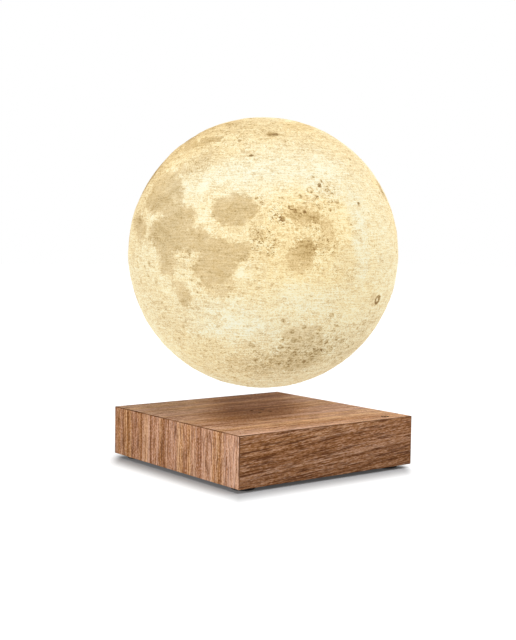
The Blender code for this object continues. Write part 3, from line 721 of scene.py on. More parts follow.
def makeCase():
    look = caseLook
    materials = (finishes["walnut"], walnutFront, seamFinish)
    case = newPiece("woodCase", boxMesh(caseLow, caseHigh), *materials)
    roundEdges(case, look["edge"])
    slanted, upwards, frontwards = look["faceLimits"]
    for face in case.data.polygons:
        if max(abs(side) for side in face.normal) < slanted and face.normal.z > upwards:
            face.material_index = materials.index(seamFinish)
        elif abs(face.normal.y) > frontwards:
            face.material_index = materials.index(walnutFront)
    half, over = caseHigh.x, look["over"]
    cavity, rebate = half - look["wall"], plateHigh.x + fitGap
    post, ceiling = cavity - look["post"], caseHigh.z - look["top"]
    low, ledge = caseLow.z - over, caseLow.z + look["plate"] + fitGap
    inside = [
        boxMesh((-rebate, -rebate, low), (rebate, rebate, ledge)),
        boxMesh((-cavity, -post, low), (cavity, post, ceiling)),
        boxMesh((-post, -cavity, low), (post, cavity, ceiling)),
        boxMesh((-cavity, -cavity, ledge + look["postHeight"]), (cavity, cavity, ceiling)),
    ]
    for corner in corners:
        screw, _, length = standing("case_screw_" + corner)
        top = screw.z + length + fitGap
        inside.append(rodMesh(look["screwHole"], (screw.x, screw.y, 0), low, top, columns=24))
    inletLow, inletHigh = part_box("jack_pin")
    jackAxis = (inletLow.z + inletHigh.z) / 2
    inside.append(rodMesh(look["inletRadius"], (0, half, jackAxis), -2 * look["wall"], over, "Y", 72))
    carve(case, inside, insideFinish)
    floor, top = caseHigh.z - look["markDepth"], caseHigh.z + over
    marks = []
    for x, y in corners.values():
        place = (x * look["dotPitch"] / 2, y * look["dotPitch"] / 2, 0)
        marks.append(rodMesh(look["dotRadius"], place, floor, top, columns=24))
    touch = (half - look["touchInset"][0], look["touchInset"][1] - half, 0)
    outer, inner = look["touchRing"]
    ring = [(outer, top), (outer, floor), (inner, floor), (inner, top)]
    marks.append(turnedMesh("ring", ring, touch, 64))
    marks.append(rodMesh(look["touchDot"], touch, floor, top, columns=32))
    carve(case, marks, marksFinish)
    smooth(case.data, 25)
    wearSlot(case, "walnut", "base", "wood_case")


makeCase()
print("wood case made")


# Feet

footLook = {"round": 0.7 * mm, "topRound": 0.7 / 3 * mm, "dish": 0.25 * mm, "dishShare": 0.6}


def makeFoot(name, node):
    look = footLook
    place, radius, height = standing(node)
    soft, deep, dish = look["topRound"], look["dish"], radius * look["dishShare"]
    outline = [(0, height), (radius - soft, height), (radius, height - soft)]
    outline += roundedEdge(radius, look["round"], 5)
    outline += [(dish, 0), (dish - deep, deep), (0, deep)]
    mesh = turnedMesh(name, outline, place)
    wearSlot(newPiece(name, mesh, finishes["rubber_feet"]), "rubber_feet", "base", node)


for corner in corners:
    makeFoot(cornerName("foot", corner), "foot_" + corner)
print("feet made")


# Bottom plate

plateLook = {
    "thickness": 3 * mm,
    "edge": 0.35 * mm,
    "boss": 3.2 * mm,
    "footSeat": (6.3 * mm, 0.6 * mm),  # radius and depth
    "headSeat": 2.7 * mm,
    "shankHole": 1.55 * mm,
    "groove": (39.4 * mm, 38.6 * mm, 0.35 * mm),  # half widths outside and inside, and depth
}


def makePlate():
    look = plateLook
    plastic, over = finishes["black_plastic"], caseLook["over"]
    under, top = plateLow.z - over, plateLow.z + look["thickness"]
    plate = newPiece("bottomPlate", boxMesh(plateLow, (plateHigh.x, plateHigh.y, top)), plastic)
    roundEdges(plate, look["edge"])
    outer, inner, depth = look["groove"]
    grooveTop = plateLow.z + depth
    bands = [sorted((side * inner, side * outer)) for side in (-1, 1)]
    cuts = [boxMesh((-outer, near, under), (outer, far, grooveTop)) for near, far in bands]
    cuts += [boxMesh((near, -outer, under), (far, outer, grooveTop)) for near, far in bands]
    bosses, bossFoot = [], top - look["thickness"] / 2
    seatRadius, seatDepth = look["footSeat"]
    for corner in corners:
        for kind in ("case", "stack"):
            foot = standing(f"{kind}_screw_{corner}")[0]
            place = (foot.x, foot.y, 0)
            if kind == "case":
                cuts.append(rodMesh(seatRadius, place, under, plateLow.z + seatDepth))
            else:
                bosses.append(rodMesh(look["boss"], place, bossFoot, plateHigh.z, columns=32))
            headTop = foot.z + screwLook["head"] + fitGap
            cuts.append(rodMesh(look["headSeat"], place, under, headTop, columns=32))
            cuts.append(rodMesh(look["shankHole"], place, under, plateHigh.z + over, columns=24))
    carve(plate, bosses, plastic, "UNION")
    for cut in cuts:
        carve(plate, [cut], plastic)
    smooth(plate.data, 30)
    wearSlot(plate, "black_plastic", "base", "bottom_plate")


# Screws

screwLook = {
    "head": 1.1 * mm,
    "headRound": 0.4 * mm,
    "shank": 1.25 * mm,
    "pitch": 0.6 * mm,
    "threadDepth": 0.24 * mm,
    "tip": (0.05 * mm, 0.325 * mm),  # where it begins, and how blunt it is
    "rowsPerTurn": 6,
    "columns": 30,
    "cross": (1.35 * mm, 0.34 * mm, 0.7 * mm),  # half length, half width and depth
}


def makeScrew(name, node):
    look = screwLook
    middle, headRadius, length = standing(node)
    columns, pitch, seat = look["columns"], look["pitch"], look["head"]
    turns = np.arange(columns) / columns
    start, blunt = look["tip"]
    count = round((length - seat) / pitch * look["rowsPerTurn"])
    rings = [poleAt(length)]
    for height in np.linspace(length - start, seat + pitch / 2, count):
        wave = np.abs(((height / pitch + turns) % 1) * 2 - 1)
        reach = np.minimum(look["shank"], (length - height) + blunt)
        rings.append(ringAt(reach - look["threadDepth"] * wave, height, columns))
    outline = [(look["shank"], seat), (headRadius, seat), *roundedEdge(headRadius, look["headRound"], 4)]
    rings += [ringAt(radius, height, columns) for radius, height in outline] + [poleAt(0)]
    mesh = meshOfRings(name, rings)
    mesh.transform(Matrix.Translation(middle))
    screw = newPiece(name, mesh, finishes["screw_steel"])
    long, wide, deep = look["cross"]
    for x, y in ((long, wide), (wide, long)):
        block = boxMesh((-x, -y, -deep), (x, y, deep))
        block.transform(Matrix.Translation(middle))
        carve(screw, [block], finishes["screw_steel"])
    smooth(screw.data, 35)
    wearSlot(screw, "screw_steel", "base", node)


makePlate()
for corner in corners:
    for kind in ("case", "stack"):
        makeScrew(cornerName(kind + "Screw", corner), f"{kind}_screw_{corner}")
print("plate and screws made")


# Power socket

socketLook = {
    "half": 4.6 * mm,
    "edge": 0.5 * mm,
    "flange": (1 * mm, 0.25 * mm),  # thickness and edge
    "bore": 3.2 * mm,
    "mouth": 0.35 * mm,
    "boreFloor": 1.8 * mm,
    "slot": (0.9 * mm, 0.45 * mm),  # for the spring: half width and depth
}


def makeSocket():
    look = socketLook
    low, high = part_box("power_jack")
    axis, half, plastic = (low.z + high.z) / 2, look["half"], finishes["black_plastic"]
    thick, soft = look["flange"]
    body = boxMesh((-half, low.y, axis - half), (half, high.y - thick / 2, axis + half))
    socket = newPiece("powerSocket", body, plastic)
    roundEdges(socket, look["edge"])
    place, reach = (0, high.y, axis), high.x
    flange = [(0, 0), (reach - soft, 0), (reach, -soft), (reach, -thick), (0, -thick)]
    carve(socket, [turnedMesh("flange", flange, place, 72, "Y")], plastic, "UNION")
    over, bore, mouth = caseLook["over"], look["bore"], look["mouth"]
    floor = low.y + look["boreFloor"] - high.y
    hollow = [(0, over), (bore + mouth + over, over), (bore, -mouth), (bore, floor), (0, floor)]
    carve(socket, [turnedMesh("bore", hollow, place, 64, "Y")], plastic)
    wide, deep = look["slot"]
    slot = boxMesh((-wide, high.y + floor, axis - bore - deep), (wide, high.y + over, axis))
    carve(socket, [slot], plastic)
    smooth(socket.data, 30)
    wearSlot(socket, "black_plastic", "base", "power_jack")
    low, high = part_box("jack_pin")
    radius, length = high.x, high.y - low.y
    tip = [(radius * math.sin(a), radius * (math.cos(a) - 1)) for a in np.linspace(0, math.pi / 2, 7)]
    pin = turnedMesh("socketPin", tip + [(radius, -length), (0, -length)], (0, high.y, axis), 32, "Y")
    wearSlot(newPiece("socketPin", pin, finishes["nickel"]), "nickel", "base", "jack_pin")


makeSocket()
print("power socket made")


# Moon: where the seas, the bright ground and the craters lie, in degrees of the moon's own map

moonMap = {
    "facing": 72,  # the longitude that faces the camera
    "seas": (
        # latitude, longitude, half width, half height, for some a turn, and the share of the sea's dark tone
        # serenity
        (26, 20.5, 10.8, 9.3, -8, 0.82), (21, 19, 9.5, 5, 0.8), (21.5, 31, 5, 4, 0.8),
        # tranquillity
        (8, 31, 12.5, 7.2, 1), (13.5, 38, 6, 5.5, -30, 0.95), (5.5, 44, 7.5, 5, -20, 0.82),
        (10.4, 45.6, 3.4, 0.7, 0.9), (-3, 31, 5, 6, 10, 0.8), (10, 11, 5, 5.5, 0.75),
        # crises
        (17.2, 60.3, 8.6, 6.6, 4, 1),
        # fertility, and the seas beside it
        (1, 55, 8, 5.5, 1), (1.5, 63.5, 4.6, 3, 12, 0.75), (-5, 51, 7, 6, 20, 0.95), (17, 29.5, 4, 3, 0.85),
        (-11.5, 54.5, 7, 5, 10, 0.42), (-4, 57.5, 5, 4, 0.9),
        # nectar
        (-15.3, 37.5, 3.6, 5.7, 22, 0.85),
        # waves
        (8, 69, 3, 2.4, -20, 0.5),
        # the lakes
        (36, 33, 8, 3, 10, 0.35), (41, 40, 6, 3, 0.25),
        # cold
        (52.5, 31.5, 6.5, 2.6, 8, 1), (49.5, 22, 6, 3, 0.75), (56, 76, 2.3, 1.9, 1),
        (55.7, 80, 3.2, 0.9, 0.9),
        # the margin
        (15.5, 88, 6.8, 2.8, -8, 0.95), (14.4, 93, 3.4, 2.4, 0.8), (8.5, 97.5, 3.4, 6, -10, 0.5),
        # the eastern limb
        (3, 89, 4, 4, 0.95), (-2, 86, 5.4, 4.4, 0.68), (-3, 108, 6, 8, 10, 0.25),
        # the south
        (-33, 90, 8, 4, 0.35), (-42, 94, 9, 11, 0.5), (-50, 82, 20, 6, 0.24),
        # the far side
        (28, 147, 5, 3.5, 30, 0.9), (-18, 127, 2.4, 3, 0.7), (-33, 164, 5, 4, 0.7), (-55, 180, 34, 24, 0.3),
        (-20, -95, 6, 5, 0.8),
        # showers
        (33, -21, 17, 16, 0.95),
        # the ocean
        (20, -55, 16, 24, 0.9), (48, -45, 14, 7, -20, 0.7), (56, -15, 20, 3.5, 0.7),
        (-20, -17, 12, 11, 0.9), (-10, -38, 18, 9, 0.85), (-24, -39, 7, 7, 0.95), (5, -20, 16, 6, 0.7),
        (13, 4, 5, 4, 0.8),
    ),
    "bright": (
        # the same, with how much lighter the ground is
        (29, 50, 13, 6, 0.16), (24, 43, 4, 5, 0.1), (35, 78, 26, 9, 0.085), (16, 48.6, 1.8, 6, -20, 0.25),
        (32, 22, 7, 3.2, 0.14), (15, 44.6, 2.6, 2.6, 0.1), (20, 35.5, 5.5, 1.9, -38, 0.2),
        (15.2, 18.5, 4, 1.2, 0.16), (8.5, 48, 4, 2, -25, 0.1), (20, 8.5, 1.2, 4, 4, 0.16),
        (27.5, 9.6, 1.2, 4, -12, 0.16), (33.5, 14, 1.2, 4, -42, 0.16), (-28, 60, 15, 7, 8, 0.16),
        (-26, 116, 9, 8, 0.06), (-29, 58, 10, 4, 4, 0.07), (-7, 63, 2.6, 2.6, 0.22), (-9, 31, 5, 8, 0.1),
        (-8, 40, 6, 3, -30, 0.1), (-16, 92, 11, 6, 0.1), (36, 103, 6, 5, 0.12), (4, 114, 3, 16, -8, 0.16),
        (14, 108, 6, 14, 0.06), (-20, 62, 3, 3, 0.08), (38, 60, 8, 3, 0.08), (-8.5, 70, 18, 5, 0.05),
        (-43, -11, 16, 12, 0.12), (10, -20, 4, 4, 0.2), (20, 160, 40, 30, 0.04),
        # the far side
        (42, 172, 15, 7, 10, 0.13), (-6, 150, 10, 6, 20, 0.13), (8, -162, 13, 7, -10, 0.12),
        (-32, -142, 15, 8, 8, 0.13), (4, -108, 8, 12, 0.12), (46, -100, 13, 7, 0.12),
    ),
    "dim": (
        # and how much darker it is. Those at the upper limb are painted shade; the broad ones towards the
        # bottom are partly darker ground and partly painted shade.
        (56, 77, 3, 1.2, 0.3), (15.5, 88.5, 6, 2.4, -10, 0.06), (3.5, 89.5, 3.4, 3, 0.15),
        # the upper limb, darkened as painted shade
        (45, 0, 10, 18, 0.24), (64, 18, 22, 7, 14, 0.14), (73, 62, 40, 6, 0.1), (22, -8, 7, 14, 0.14),
        (20, 21, 7, 3, 0.1), (15.5, 62.5, 6, 4.5, 10, 0.08), (7, 30, 9, 4, 0.08), (-52, 62, 30, 13, 0.07),
        (-48, 92, 26, 13, 0.08), (72, 150, 16, 5, 0.12),
        # the land among the western seas
        (-4, 38, 8, 6, 0.1), (43, 34, 10, 7, 0.09), (9, 4, 7, 13, 0.1), (24, 8, 4, 12, 0.08),
        (-13, 58, 8, 5, 0.05), (28, 145, 3, 6, 20, 0.16), (0, 74, 9, 16, 0.08), (-38, 126, 14, 10, 0.06),
        (-22, 26, 12, 16, 0.05), (62, 60, 60, 12, 0.1), (40, 52, 12, 5, 0.05), (-26, 45, 10, 6, 0.06),
        (-60, 90, 60, 20, 0.05),
        # the far side
        (16, 163, 13, 9, 15, 0.1), (-24, -172, 17, 11, 0.13), (-10, -124, 12, 9, 20, 0.1),
        (34, -150, 16, 8, -12, 0.1), (62, -172, 34, 9, 0.09),
    ),
    "mottled": (
        # ground broken up by small dark blots, and how dark they are
        (16, 84, 10, 5, -20, 0.24), (15.5, 78, 4, 3, 0.3), (2, 90, 8, 8, 0.34), (7, 46, 6, 4, 0.2),
        (24, 99, 9, 6, -30, 0.2), (9, 98, 7, 9, 0.2), (26, 100, 8, 7, 0.16), (6, 71, 6, 5, 0.44),
        (21, 69, 3, 4, 0.3), (15, 78, 4, 4, 0.25), (0, 68, 8, 5, 0.12), (-3, 108, 9, 10, 0.16),
        (-36, 90, 17, 10, 0.18), (-48, 84, 16, 8, 0.16), (-38, 112, 14, 10, 0.15), (-50, 60, 24, 9, 0.12),
        (-12, 47, 7, 6, 0.2), (-3, 39, 8, 6, 0.18), (51, 52, 12, 5, 0.2), (42, 62, 10, 4, 0.14),
        (36, 36, 8, 5, 0.2), (62, 80, 30, 8, 0.12), (-24, 103, 6, 5, 0.18),
        # the far side
        (6, 152, 11, 7, 0.2), (-16, -176, 14, 10, 0.26), (26, -132, 12, 8, 0.24), (-36, -112, 12, 8, 0.22),
        (42, 148, 10, 6, 0.2),
    ),
    "warm": (
        # where the colour leans to orange, and by how much; at the upper limb this warms its painted shade
        (6, 88, 15, 16, 0.55), (0, 70, 26, 20, 0.18), (72, 150, 22, 7, 0.35), (72, 80, 90, 22, 0.2),
        (50, 2, 16, 24, 0.3), (15, 103, 8, 9, 0.35), (-48, 40, 24, 16, 0.25), (-8, 112, 14, 20, 0.16),
        (29, 141, 5, 3, 0.4), (12, 160, 17, 12, 0.35), (-18, -132, 18, 12, 0.3), (40, -130, 16, 10, 0.28),
    ),
    "cool": (
        (32, 50, 22, 9, 0.28), (38, 88, 24, 10, 0.3), (8, 114, 5, 20, 0.25), (-27, 60, 18, 9, 0.22),
        (-16, 92, 14, 6, 0.18), (-46, 90, 36, 17, 0.3), (10, 25, 20, 20, 0.12), (-75, 90, 90, 16, 0.2),
        (-6, -160, 15, 10, 0.3), (32, 180, 17, 8, 0.3),
    ),
    "craters": (
        # latitude, longitude, radius, how dark its floor is, how dark its wall is
        (28, 97, 0.9, 0.62, 0.3), (26, 92, 1.35, -0.05, 0.5), (23, 87, 0.8, -0.05, 0.45),
        (21, 104, 0.7, 0.5, 0.1), (25, 102, 0.6, 0.2, 0.2), (30, 98, 0.8, 0.1, 0.3),
        (27, 104, 0.7, 0.2, 0.2), (32, 95, 0.6, 0.3, 0.1), (21, 116, 0.7, 0.5, 0.1),
        (17.3, 88.2, 1.8, -0.24, 0.05), (16.9, 88.4, 0.9, 0.75, 0), (18.6, 83, 1.0, 0.1, 0.5),
        (17.2, 84.4, 0.8, 0.2, 0.3), (15.4, 78, 1.3, 0, 0.4), (14, 79.4, 0.9, 0.1, 0.3),
        (9.8, 84.9, 1.2, 0.2, -0.25), (5.8, 97.6, 0.6, 0.4, 0.1), (20.8, 116.2, 0.8, 0.3, 0.1),
        (12.2, 109.4, 0.7, 0.25, 0.1), (16, 77, 0.7, 0.35, 0.1), (14, 79, 0.7, 0.3, 0.1),
        (13, 81, 0.6, 0.3, 0.1), (-18, 130.3, 2.2, 0.6, 0.4), (-18, 130.6, 0.9, -0.95, 0.1),
        (-24, 103, 1.2, 0.35, 0.15), (-23, 127, 0.6, 0.3, 0.1), (-9.3, 48.2, 1.2, -0.12, 0.2),
        (-12, 46, 1.0, 0.1, 0.15), (-20, 24, 0.8, 0.3, 0.1), (-27, 68, 1.7, -0.02, 0.12),
        (-26, 81, 0.8, 0.25, 0.15), (42, 65, 0.8, 0.38, 0.1), (51, 56, 0.8, 0.38, 0.1),
        (45, 60, 0.9, 0.25, 0.15), (22, 69, 0.7, 0.3, 0.2), (20, 71, 0.7, 0.3, 0.2),
        (-31, 86, 1.1, 0.2, 0.1), (-29, 91, 1.0, 0.2, 0.2), (-35, 82, 0.8, 0.2, 0.1),
        (-34, 97, 1.0, 0.2, 0.1), (-36, 102, 0.9, 0.2, 0.1), (-44, 80, 1.0, 0.2, 0.1),
        (-48, 98, 0.9, 0.2, 0.1), (-50, 77, 1.1, 0.2, 0.1), (-41, 90, 1.0, 0.2, 0.15),
        (-7.2, 63, 2.1, -0.3, 0.12), (-17, 62, 1.6, -0.03, 0.1), (-24, 61, 2.0, -0.04, 0.09),
        (32, 45, 0.9, 0.02, 0.12), (14.8, 19.7, 0.7, -0.25, 0.05), (14.5, 26.1, 0.7, -0.25, 0.05),
        (13.1, 13.1, 0.7, -0.25, 0.05), (9.4, 41, 0.7, -0.25, 0.05), (-43, -11, 2.0, -0.05, 0.2),
        (10, -20, 1.8, -0.05, 0.25), (24, -47, 1.0, -0.1, 0.2),
        # the far side
        (20, 148, 2.2, 0.05, 0.2), (-12, 170, 3, 0.06, 0.16), (5, -150, 2.4, -0.03, 0.2),
        (-28, -155, 3.2, 0.05, 0.16), (30, -115, 2.6, 0.06, 0.18), (-8, -105, 2, 0.04, 0.2),
        (-40, 150, 2.2, 0.07, 0.18), (48, 175, 2, 0.06, 0.18),
    ),
    "crowds": (
        # where worn craters lie close: latitude, longitude, reach, how many
        (-40, 97, 10, 80), (-50, 72, 13, 50), (-36, 120, 8, 34), (17, 86, 6, 24), (3, 93, 6, 18),
        (26, 100, 5, 14), (7, 71, 5, 18), (-18, 47, 5, 12), (-20, 165, 26, 160), (30, -150, 26, 160),
    ),
}

moonLook = {
    "columns": 720,
    "rowStep": 0.52,  # degrees
    "innerRows": 24,
    "capRows": 60,
    "wall": 1.6 * mm,
    "inset": 0.34 * mm,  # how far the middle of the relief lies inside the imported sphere
    "limit": 0.32 * mm,
    "seaDepth": 0.16 * mm,
    "rough": 0.13 * mm,
    "seaRough": 0.3,  # how much of that the seas keep
    "seaBends": ((0.022, 7, 100), (0.008, 36, 200)),  # of their outlines: how far, how often, and the seed
    "seaEdge": (1.05, 1.6),
    "shore": (-0.6, 0.6),  # degrees
    "patchBend": (0.05, 4, 300),
    "patchSoft": (0.12, 0.05, 0.7),  # the least, what a degree of width adds, and the most
    "flatten": (1, 1, 1.6),  # noise on such points lies flat, as the real print's does
    "swells": (2.4, 3, 41),  # how often, octaves, and the seed
    "swellShade": 0.05,
    "streaks": (13, 4, 45),
    "streakShades": (0.6, 1.6),  # the mean and the most
    "clouds": (9, 5, 51),
    "cloudShade": 0.058,
    "bumps": (5, 5, 71),
    "tinges": (12, 3, 91),
    "tingeShade": 0.1,
    "toneRange": (0.02, 1.1),
    "seamFade": 1.2 * mm,
    "seamRound": 0.22 * mm,
    "seamCorner": (0.3, 0.1),  # a point on that round edge, in and up, as shares of it
    "pocketWall": 1.2 * mm,
}

craterLook = {  # places and widths are in radii, heights in depths
    "reach": 1.9,
    "depth": 0.2,  # in radii
    "deepest": 0.3 * mm,
    "flat": 0.75,  # from how deep on the floor is flat
    "lip": (1.02, 0.2, 0.42),  # place, width and height
    "floor": (0.7, 1),
    "wall": (0.86, 0.17, 0.4),  # place, least width, and the width for a radius of a degree
    "wallSideShade": 0.55,
    "wallTurns": 1e4,  # with the one before: a painted lit side and shaded side on each crater's wall, its own for each size
    "lightLip": (1.1, 0.5),  # place, and how light it is for the wall's darkness
    "peak": (2.5, 0.16, 0.5, 0.25),  # from which radius on, width, height, and how light it is
}

chanceLook = {
    "seed": 7,
    "count": 4200,
    "sizes": (0.42, 2.6),  # least and largest radius
    "power": 2.9,  # the higher it is, the fewer are large
    "floors": (-0.05, 0.06),
    "walls": (0.02, 0.16),
    "darkFloors": (0.955, 0.22),  # above which chance, and by how much
    "lightFloors": (0.1, 0.18),  # below which
    "smallSize": 0.9,  # only smaller ones have these
    "seaLimit": 0.35,
    "seaChance": 0.8,
    "crowdSizes": (0.6, 1.5),
    "crowdFloors": (-0.07, 0.07),
    "crowdWalls": (0.03, 0.2),
}

viewLook = {
    "from": (-378.3 * mm, -484.3 * mm, 120.7 * mm),
    "aim": (-4.26 * mm, -1.77 * mm, 77.8 * mm),
    "roll": 0.758,
    "lens": 64.125,
    "sensor": 36,
}


plainLooks = {"tone": printLook["ground"], "warmth": 0.5, "shore": -9, "sea": 0, "blots": 0}


def onSphere(points):
    return points / np.linalg.norm(points, axis=1)[:, None]


def surfaceNoise(points, scale, seed):  # smooth noise, about -1 to 1
    slopeCount, farOff, gain = 4096, (10, 60), 1.5
    first, second, third = 73856093, 19349663, 83492791  # large primes, to mix the cells up
    dice = np.random.default_rng(seed)
    slopes = onSphere(dice.normal(size=(slopeCount, 3)))
    spot = points * scale + dice.uniform(*farOff, 3)
    cell = np.floor(spot).astype(np.int64)
    rest = spot - cell
    ease = rest**3 * (rest * (rest * 6 - 15) + 10)
    total = np.zeros(len(points))
    for corner in np.ndindex(2, 2, 2):
        x, y, z = (cell + corner).T
        key = (x * first ^ y * second ^ z * third) % slopeCount
        share = np.prod(np.where(corner, ease, 1 - ease), axis=1)
        total += share * ((rest - corner) * slopes[key]).sum(1)
    return total * gain


def layeredNoise(points, scale, octaves, seed):
    return sum(surfaceNoise(points, scale * 2**i, seed + i) / 2**i for i in range(octaves))


def easeBetween(low, high, values):
    share = np.clip((values - low) / (high - low), 0, 1)
    return share * share * (3 - 2 * share)


cameraAngle = math.atan2(viewLook["from"][1], viewLook["from"][0])  # the side of the moon that it sees


def moonDirection(latitude, longitude):
    rise, turn = math.radians(latitude), cameraAngle + math.radians(longitude - moonMap["facing"])
    return np.array([math.cos(rise) * math.cos(turn), math.cos(rise) * math.sin(turn), math.sin(rise)])


def patchReach(points, latitude, longitude, halfWidth, halfHeight, turn=0):
    # how far out each point lies from the middle of an oval on the sphere, 1 on its outline
    behind = 9
    centre = moonDirection(latitude, longitude)
    east = np.cross((0, 0, 1), centre)
    east /= np.linalg.norm(east)
    tilt = math.radians(turn)
    across, up = points @ east, points @ np.cross(centre, east)
    along = across * math.cos(tilt) + up * math.sin(tilt)
    over = up * math.cos(tilt) - across * math.sin(tilt)
    reach = np.hypot(along / math.sin(math.radians(halfWidth)), over / math.sin(math.radians(halfHeight)))
    return np.where(points @ centre > 0, reach, behind)


def bent(points, amount, scale, seed):  # moves points a little, so that outlines on them wander
    drift = [layeredNoise(points, scale, 3, seed + 10 * i) for i in range(3)]
    return points + amount * np.stack(drift, 1)


def seaField(points):
    # how far inside the nearest shore each point lies, in degrees, and how dark the sea is there
    inside, clear = np.full(len(points), float(plainLooks["shore"])), np.ones(len(points))
    for bend in moonLook["seaBends"]:
        points = bent(points, *bend)
    for *oval, share in moonMap["seas"]:
        reach = patchReach(points, *oval)
        inside = np.maximum(inside, (1 - reach) * min(oval[2:4]))
        clear *= 1 - share * (1 - easeBetween(*moonLook["seaEdge"], reach))
    return inside, 1 - clear


def seaShare(inside, share):
    return share * easeBetween(*moonLook["shore"], inside)


def patchSum(points, kind):
    least, growth, most = moonLook["patchSoft"]  # small patches have the sharper outlines
    total = np.zeros(len(points))
    for *oval, amount in moonMap[kind]:
        soft = min(most, least + growth * min(oval[2:4]))
        total += amount * (1 - easeBetween(1 - soft, 1 + soft, patchReach(points, *oval)))
    return total


def allCraters():
    # the chosen ones, then many small ones by chance, few of them in the seas, then the crowds
    look = chanceLook
    dice = np.random.default_rng(look["seed"])
    count = look["count"]
    least, largest = look["sizes"]
    spread = onSphere(dice.normal(size=(count, 3)))
    sizes = np.minimum(largest, least * (1 - dice.uniform(size=count)) ** (-1 / look["power"]))
    kinds = dice.uniform(size=count)
    floors = dice.uniform(*look["floors"], count)
    (darkFrom, darker), (lightTo, lighter) = look["darkFloors"], look["lightFloors"]
    floors += ((kinds > darkFrom) * darker - (kinds < lightTo) * lighter) * (sizes < look["smallSize"])
    walls = dice.uniform(*look["walls"], count) * np.minimum(1, 1 / sizes)
    onLand = seaShare(*seaField(spread)) < look["seaLimit"]
    kept = onLand | (dice.uniform(size=count) > look["seaChance"])
    craters = [(moonDirection(*crater[:2]), *crater[2:]) for crater in moonMap["craters"]]
    craters += [crater for crater, keep in zip(zip(spread, sizes, floors, walls), kept) if keep]
    for latitude, longitude, reach, count in moonMap["crowds"]:
        scatter = dice.normal(size=(count, 3)) * math.radians(reach)
        spread = onSphere(moonDirection(latitude, longitude) + scatter)
        sizes = dice.uniform(*look["crowdSizes"], count)
        walls = dice.uniform(*look["crowdWalls"], count)
        craters += zip(spread, sizes, dice.uniform(*look["crowdFloors"], count), walls)
    return craters


def stampCraters(points, craters, height, tone):
    # points lie in rows from north to south, so a crater's rows are found by their heights
    look = craterLook
    levels = -points[:, 2]
    lipPlace, lipWidth, lipHeight = look["lip"]
    wallPlace, wallLeast, wallWidth = look["wall"]
    lightPlace, lightShare = look["lightLip"]
    peakFrom, peakWidth, peakHeight, peakLight = look["peak"]

    def bump(out, place, width):
        return np.exp(-(((out - place) / width) ** 2))

    for centre, size, floor, wall in craters:
        rise, angle = math.asin(centre[2]), math.radians(size)
        reach = angle * look["reach"]
        north = -math.sin(min(math.pi / 2, rise + reach)) - 1e-9
        south = -math.sin(max(-math.pi / 2, rise - reach)) + 1e-9
        rows = slice(np.searchsorted(levels, north), np.searchsorted(levels, south))
        near = points[rows] @ centre
        chosen = np.flatnonzero(near > math.cos(reach)) + rows.start
        if not len(chosen):
            continue
        out = np.arccos(np.clip(points[chosen] @ centre, -1, 1)) / angle
        depth = min(look["depth"] * angle * moonRadius, look["deepest"])
        cup = np.maximum(np.minimum(out, 1) ** 2 - 1, -look["flat"]) * depth
        height[chosen] += cup + bump(out, lipPlace, lipWidth) * depth * lipHeight
        darkFloor = floor * (1 - easeBetween(*look["floor"], out))
        # a painted shade on one side of the wall and a painted light on the other, leaning east or west
        east = np.cross((0, 0, 1), centre)
        lean = (points[chosen] @ east) / max(angle * np.linalg.norm(east), 1e-6)
        width = max(wallLeast, wallWidth / size)  # never finer than the mesh
        uneven = 1 + look["wallSideShade"] * lean * math.sin(look["wallTurns"] * size)
        darkWall = wall * uneven * bump(out, wallPlace, width)
        lightLip = wall * lightShare * bump(out, lightPlace + width, width)
        tone[chosen] += lightLip - darkFloor - darkWall
        if size > peakFrom:
            peak = bump(out, 0, peakWidth)
            height[chosen] += peak * depth * peakHeight
            tone[chosen] += peak * (floor + peakLight)


def moonSurface(points, craters):
    # how far each point stands out from the mean sphere, and what its colour depends on
    look = moonLook
    inside, share = seaField(points)
    sea = seaShare(inside, share)
    bentPoints, lying = bent(points, *look["patchBend"]), points * look["flatten"]
    streakMean, streakMost = look["streakShades"]
    streaks = np.clip(streakMean + layeredNoise(lying, *look["streaks"]), 0, streakMost)
    tone = printLook["ground"] + layeredNoise(points, *look["swells"]) * look["swellShade"]
    tone += patchSum(bentPoints, "bright") * streaks - patchSum(bentPoints, "dim")
    tone += layeredNoise(lying, *look["clouds"]) * look["cloudShade"]
    bumps = layeredNoise(points, *look["bumps"]) * look["rough"] * (1 - sea * (1 - look["seaRough"]))
    height = bumps - sea * look["seaDepth"]
    stampCraters(points, craters, height, tone)
    warmth = plainLooks["warmth"] + patchSum(bentPoints, "warm") - patchSum(bentPoints, "cool")
    warmth += layeredNoise(points, *look["tinges"]) * look["tingeShade"]
    looks = {
        "tone": np.clip(tone, *look["toneRange"]),
        "warmth": np.clip(warmth, 0, 1),
        "shore": inside,
        "sea": share,
        "blots": patchSum(bentPoints, "mottled"),
    }
    return np.clip(height, -look["limit"], look["limit"]), looks


def sphereRows(first, last, rows):
    # directions in rows, from one angle below the top to another
    angles = np.linspace(first, last, rows)
    return np.array([ringAt(math.sin(angle), math.cos(angle), moonLook["columns"]) for angle in angles])


def evenRing(radius, height):  # a plain ring about the axis, in the moon's own heights
    return ringAt(radius, height, moonLook["columns"])


def reliefRows(grid, craters, seamRadius):
    # the printed surface over a grid of directions; the relief fades towards the seam
    flat = grid.reshape(-1, 3)
    height, looks = moonSurface(flat, craters)
    mean = moonRadius - moonLook["inset"]
    fromSeam = np.abs(np.hypot(flat[:, 0], flat[:, 1]) * mean - seamRadius) + (flat[:, 2] > 0)
    height *= easeBetween(0, moonLook["seamFade"], fromSeam)
    surface = (flat * (mean + height)[:, None]).reshape(grid.shape)
    return list(surface), looks


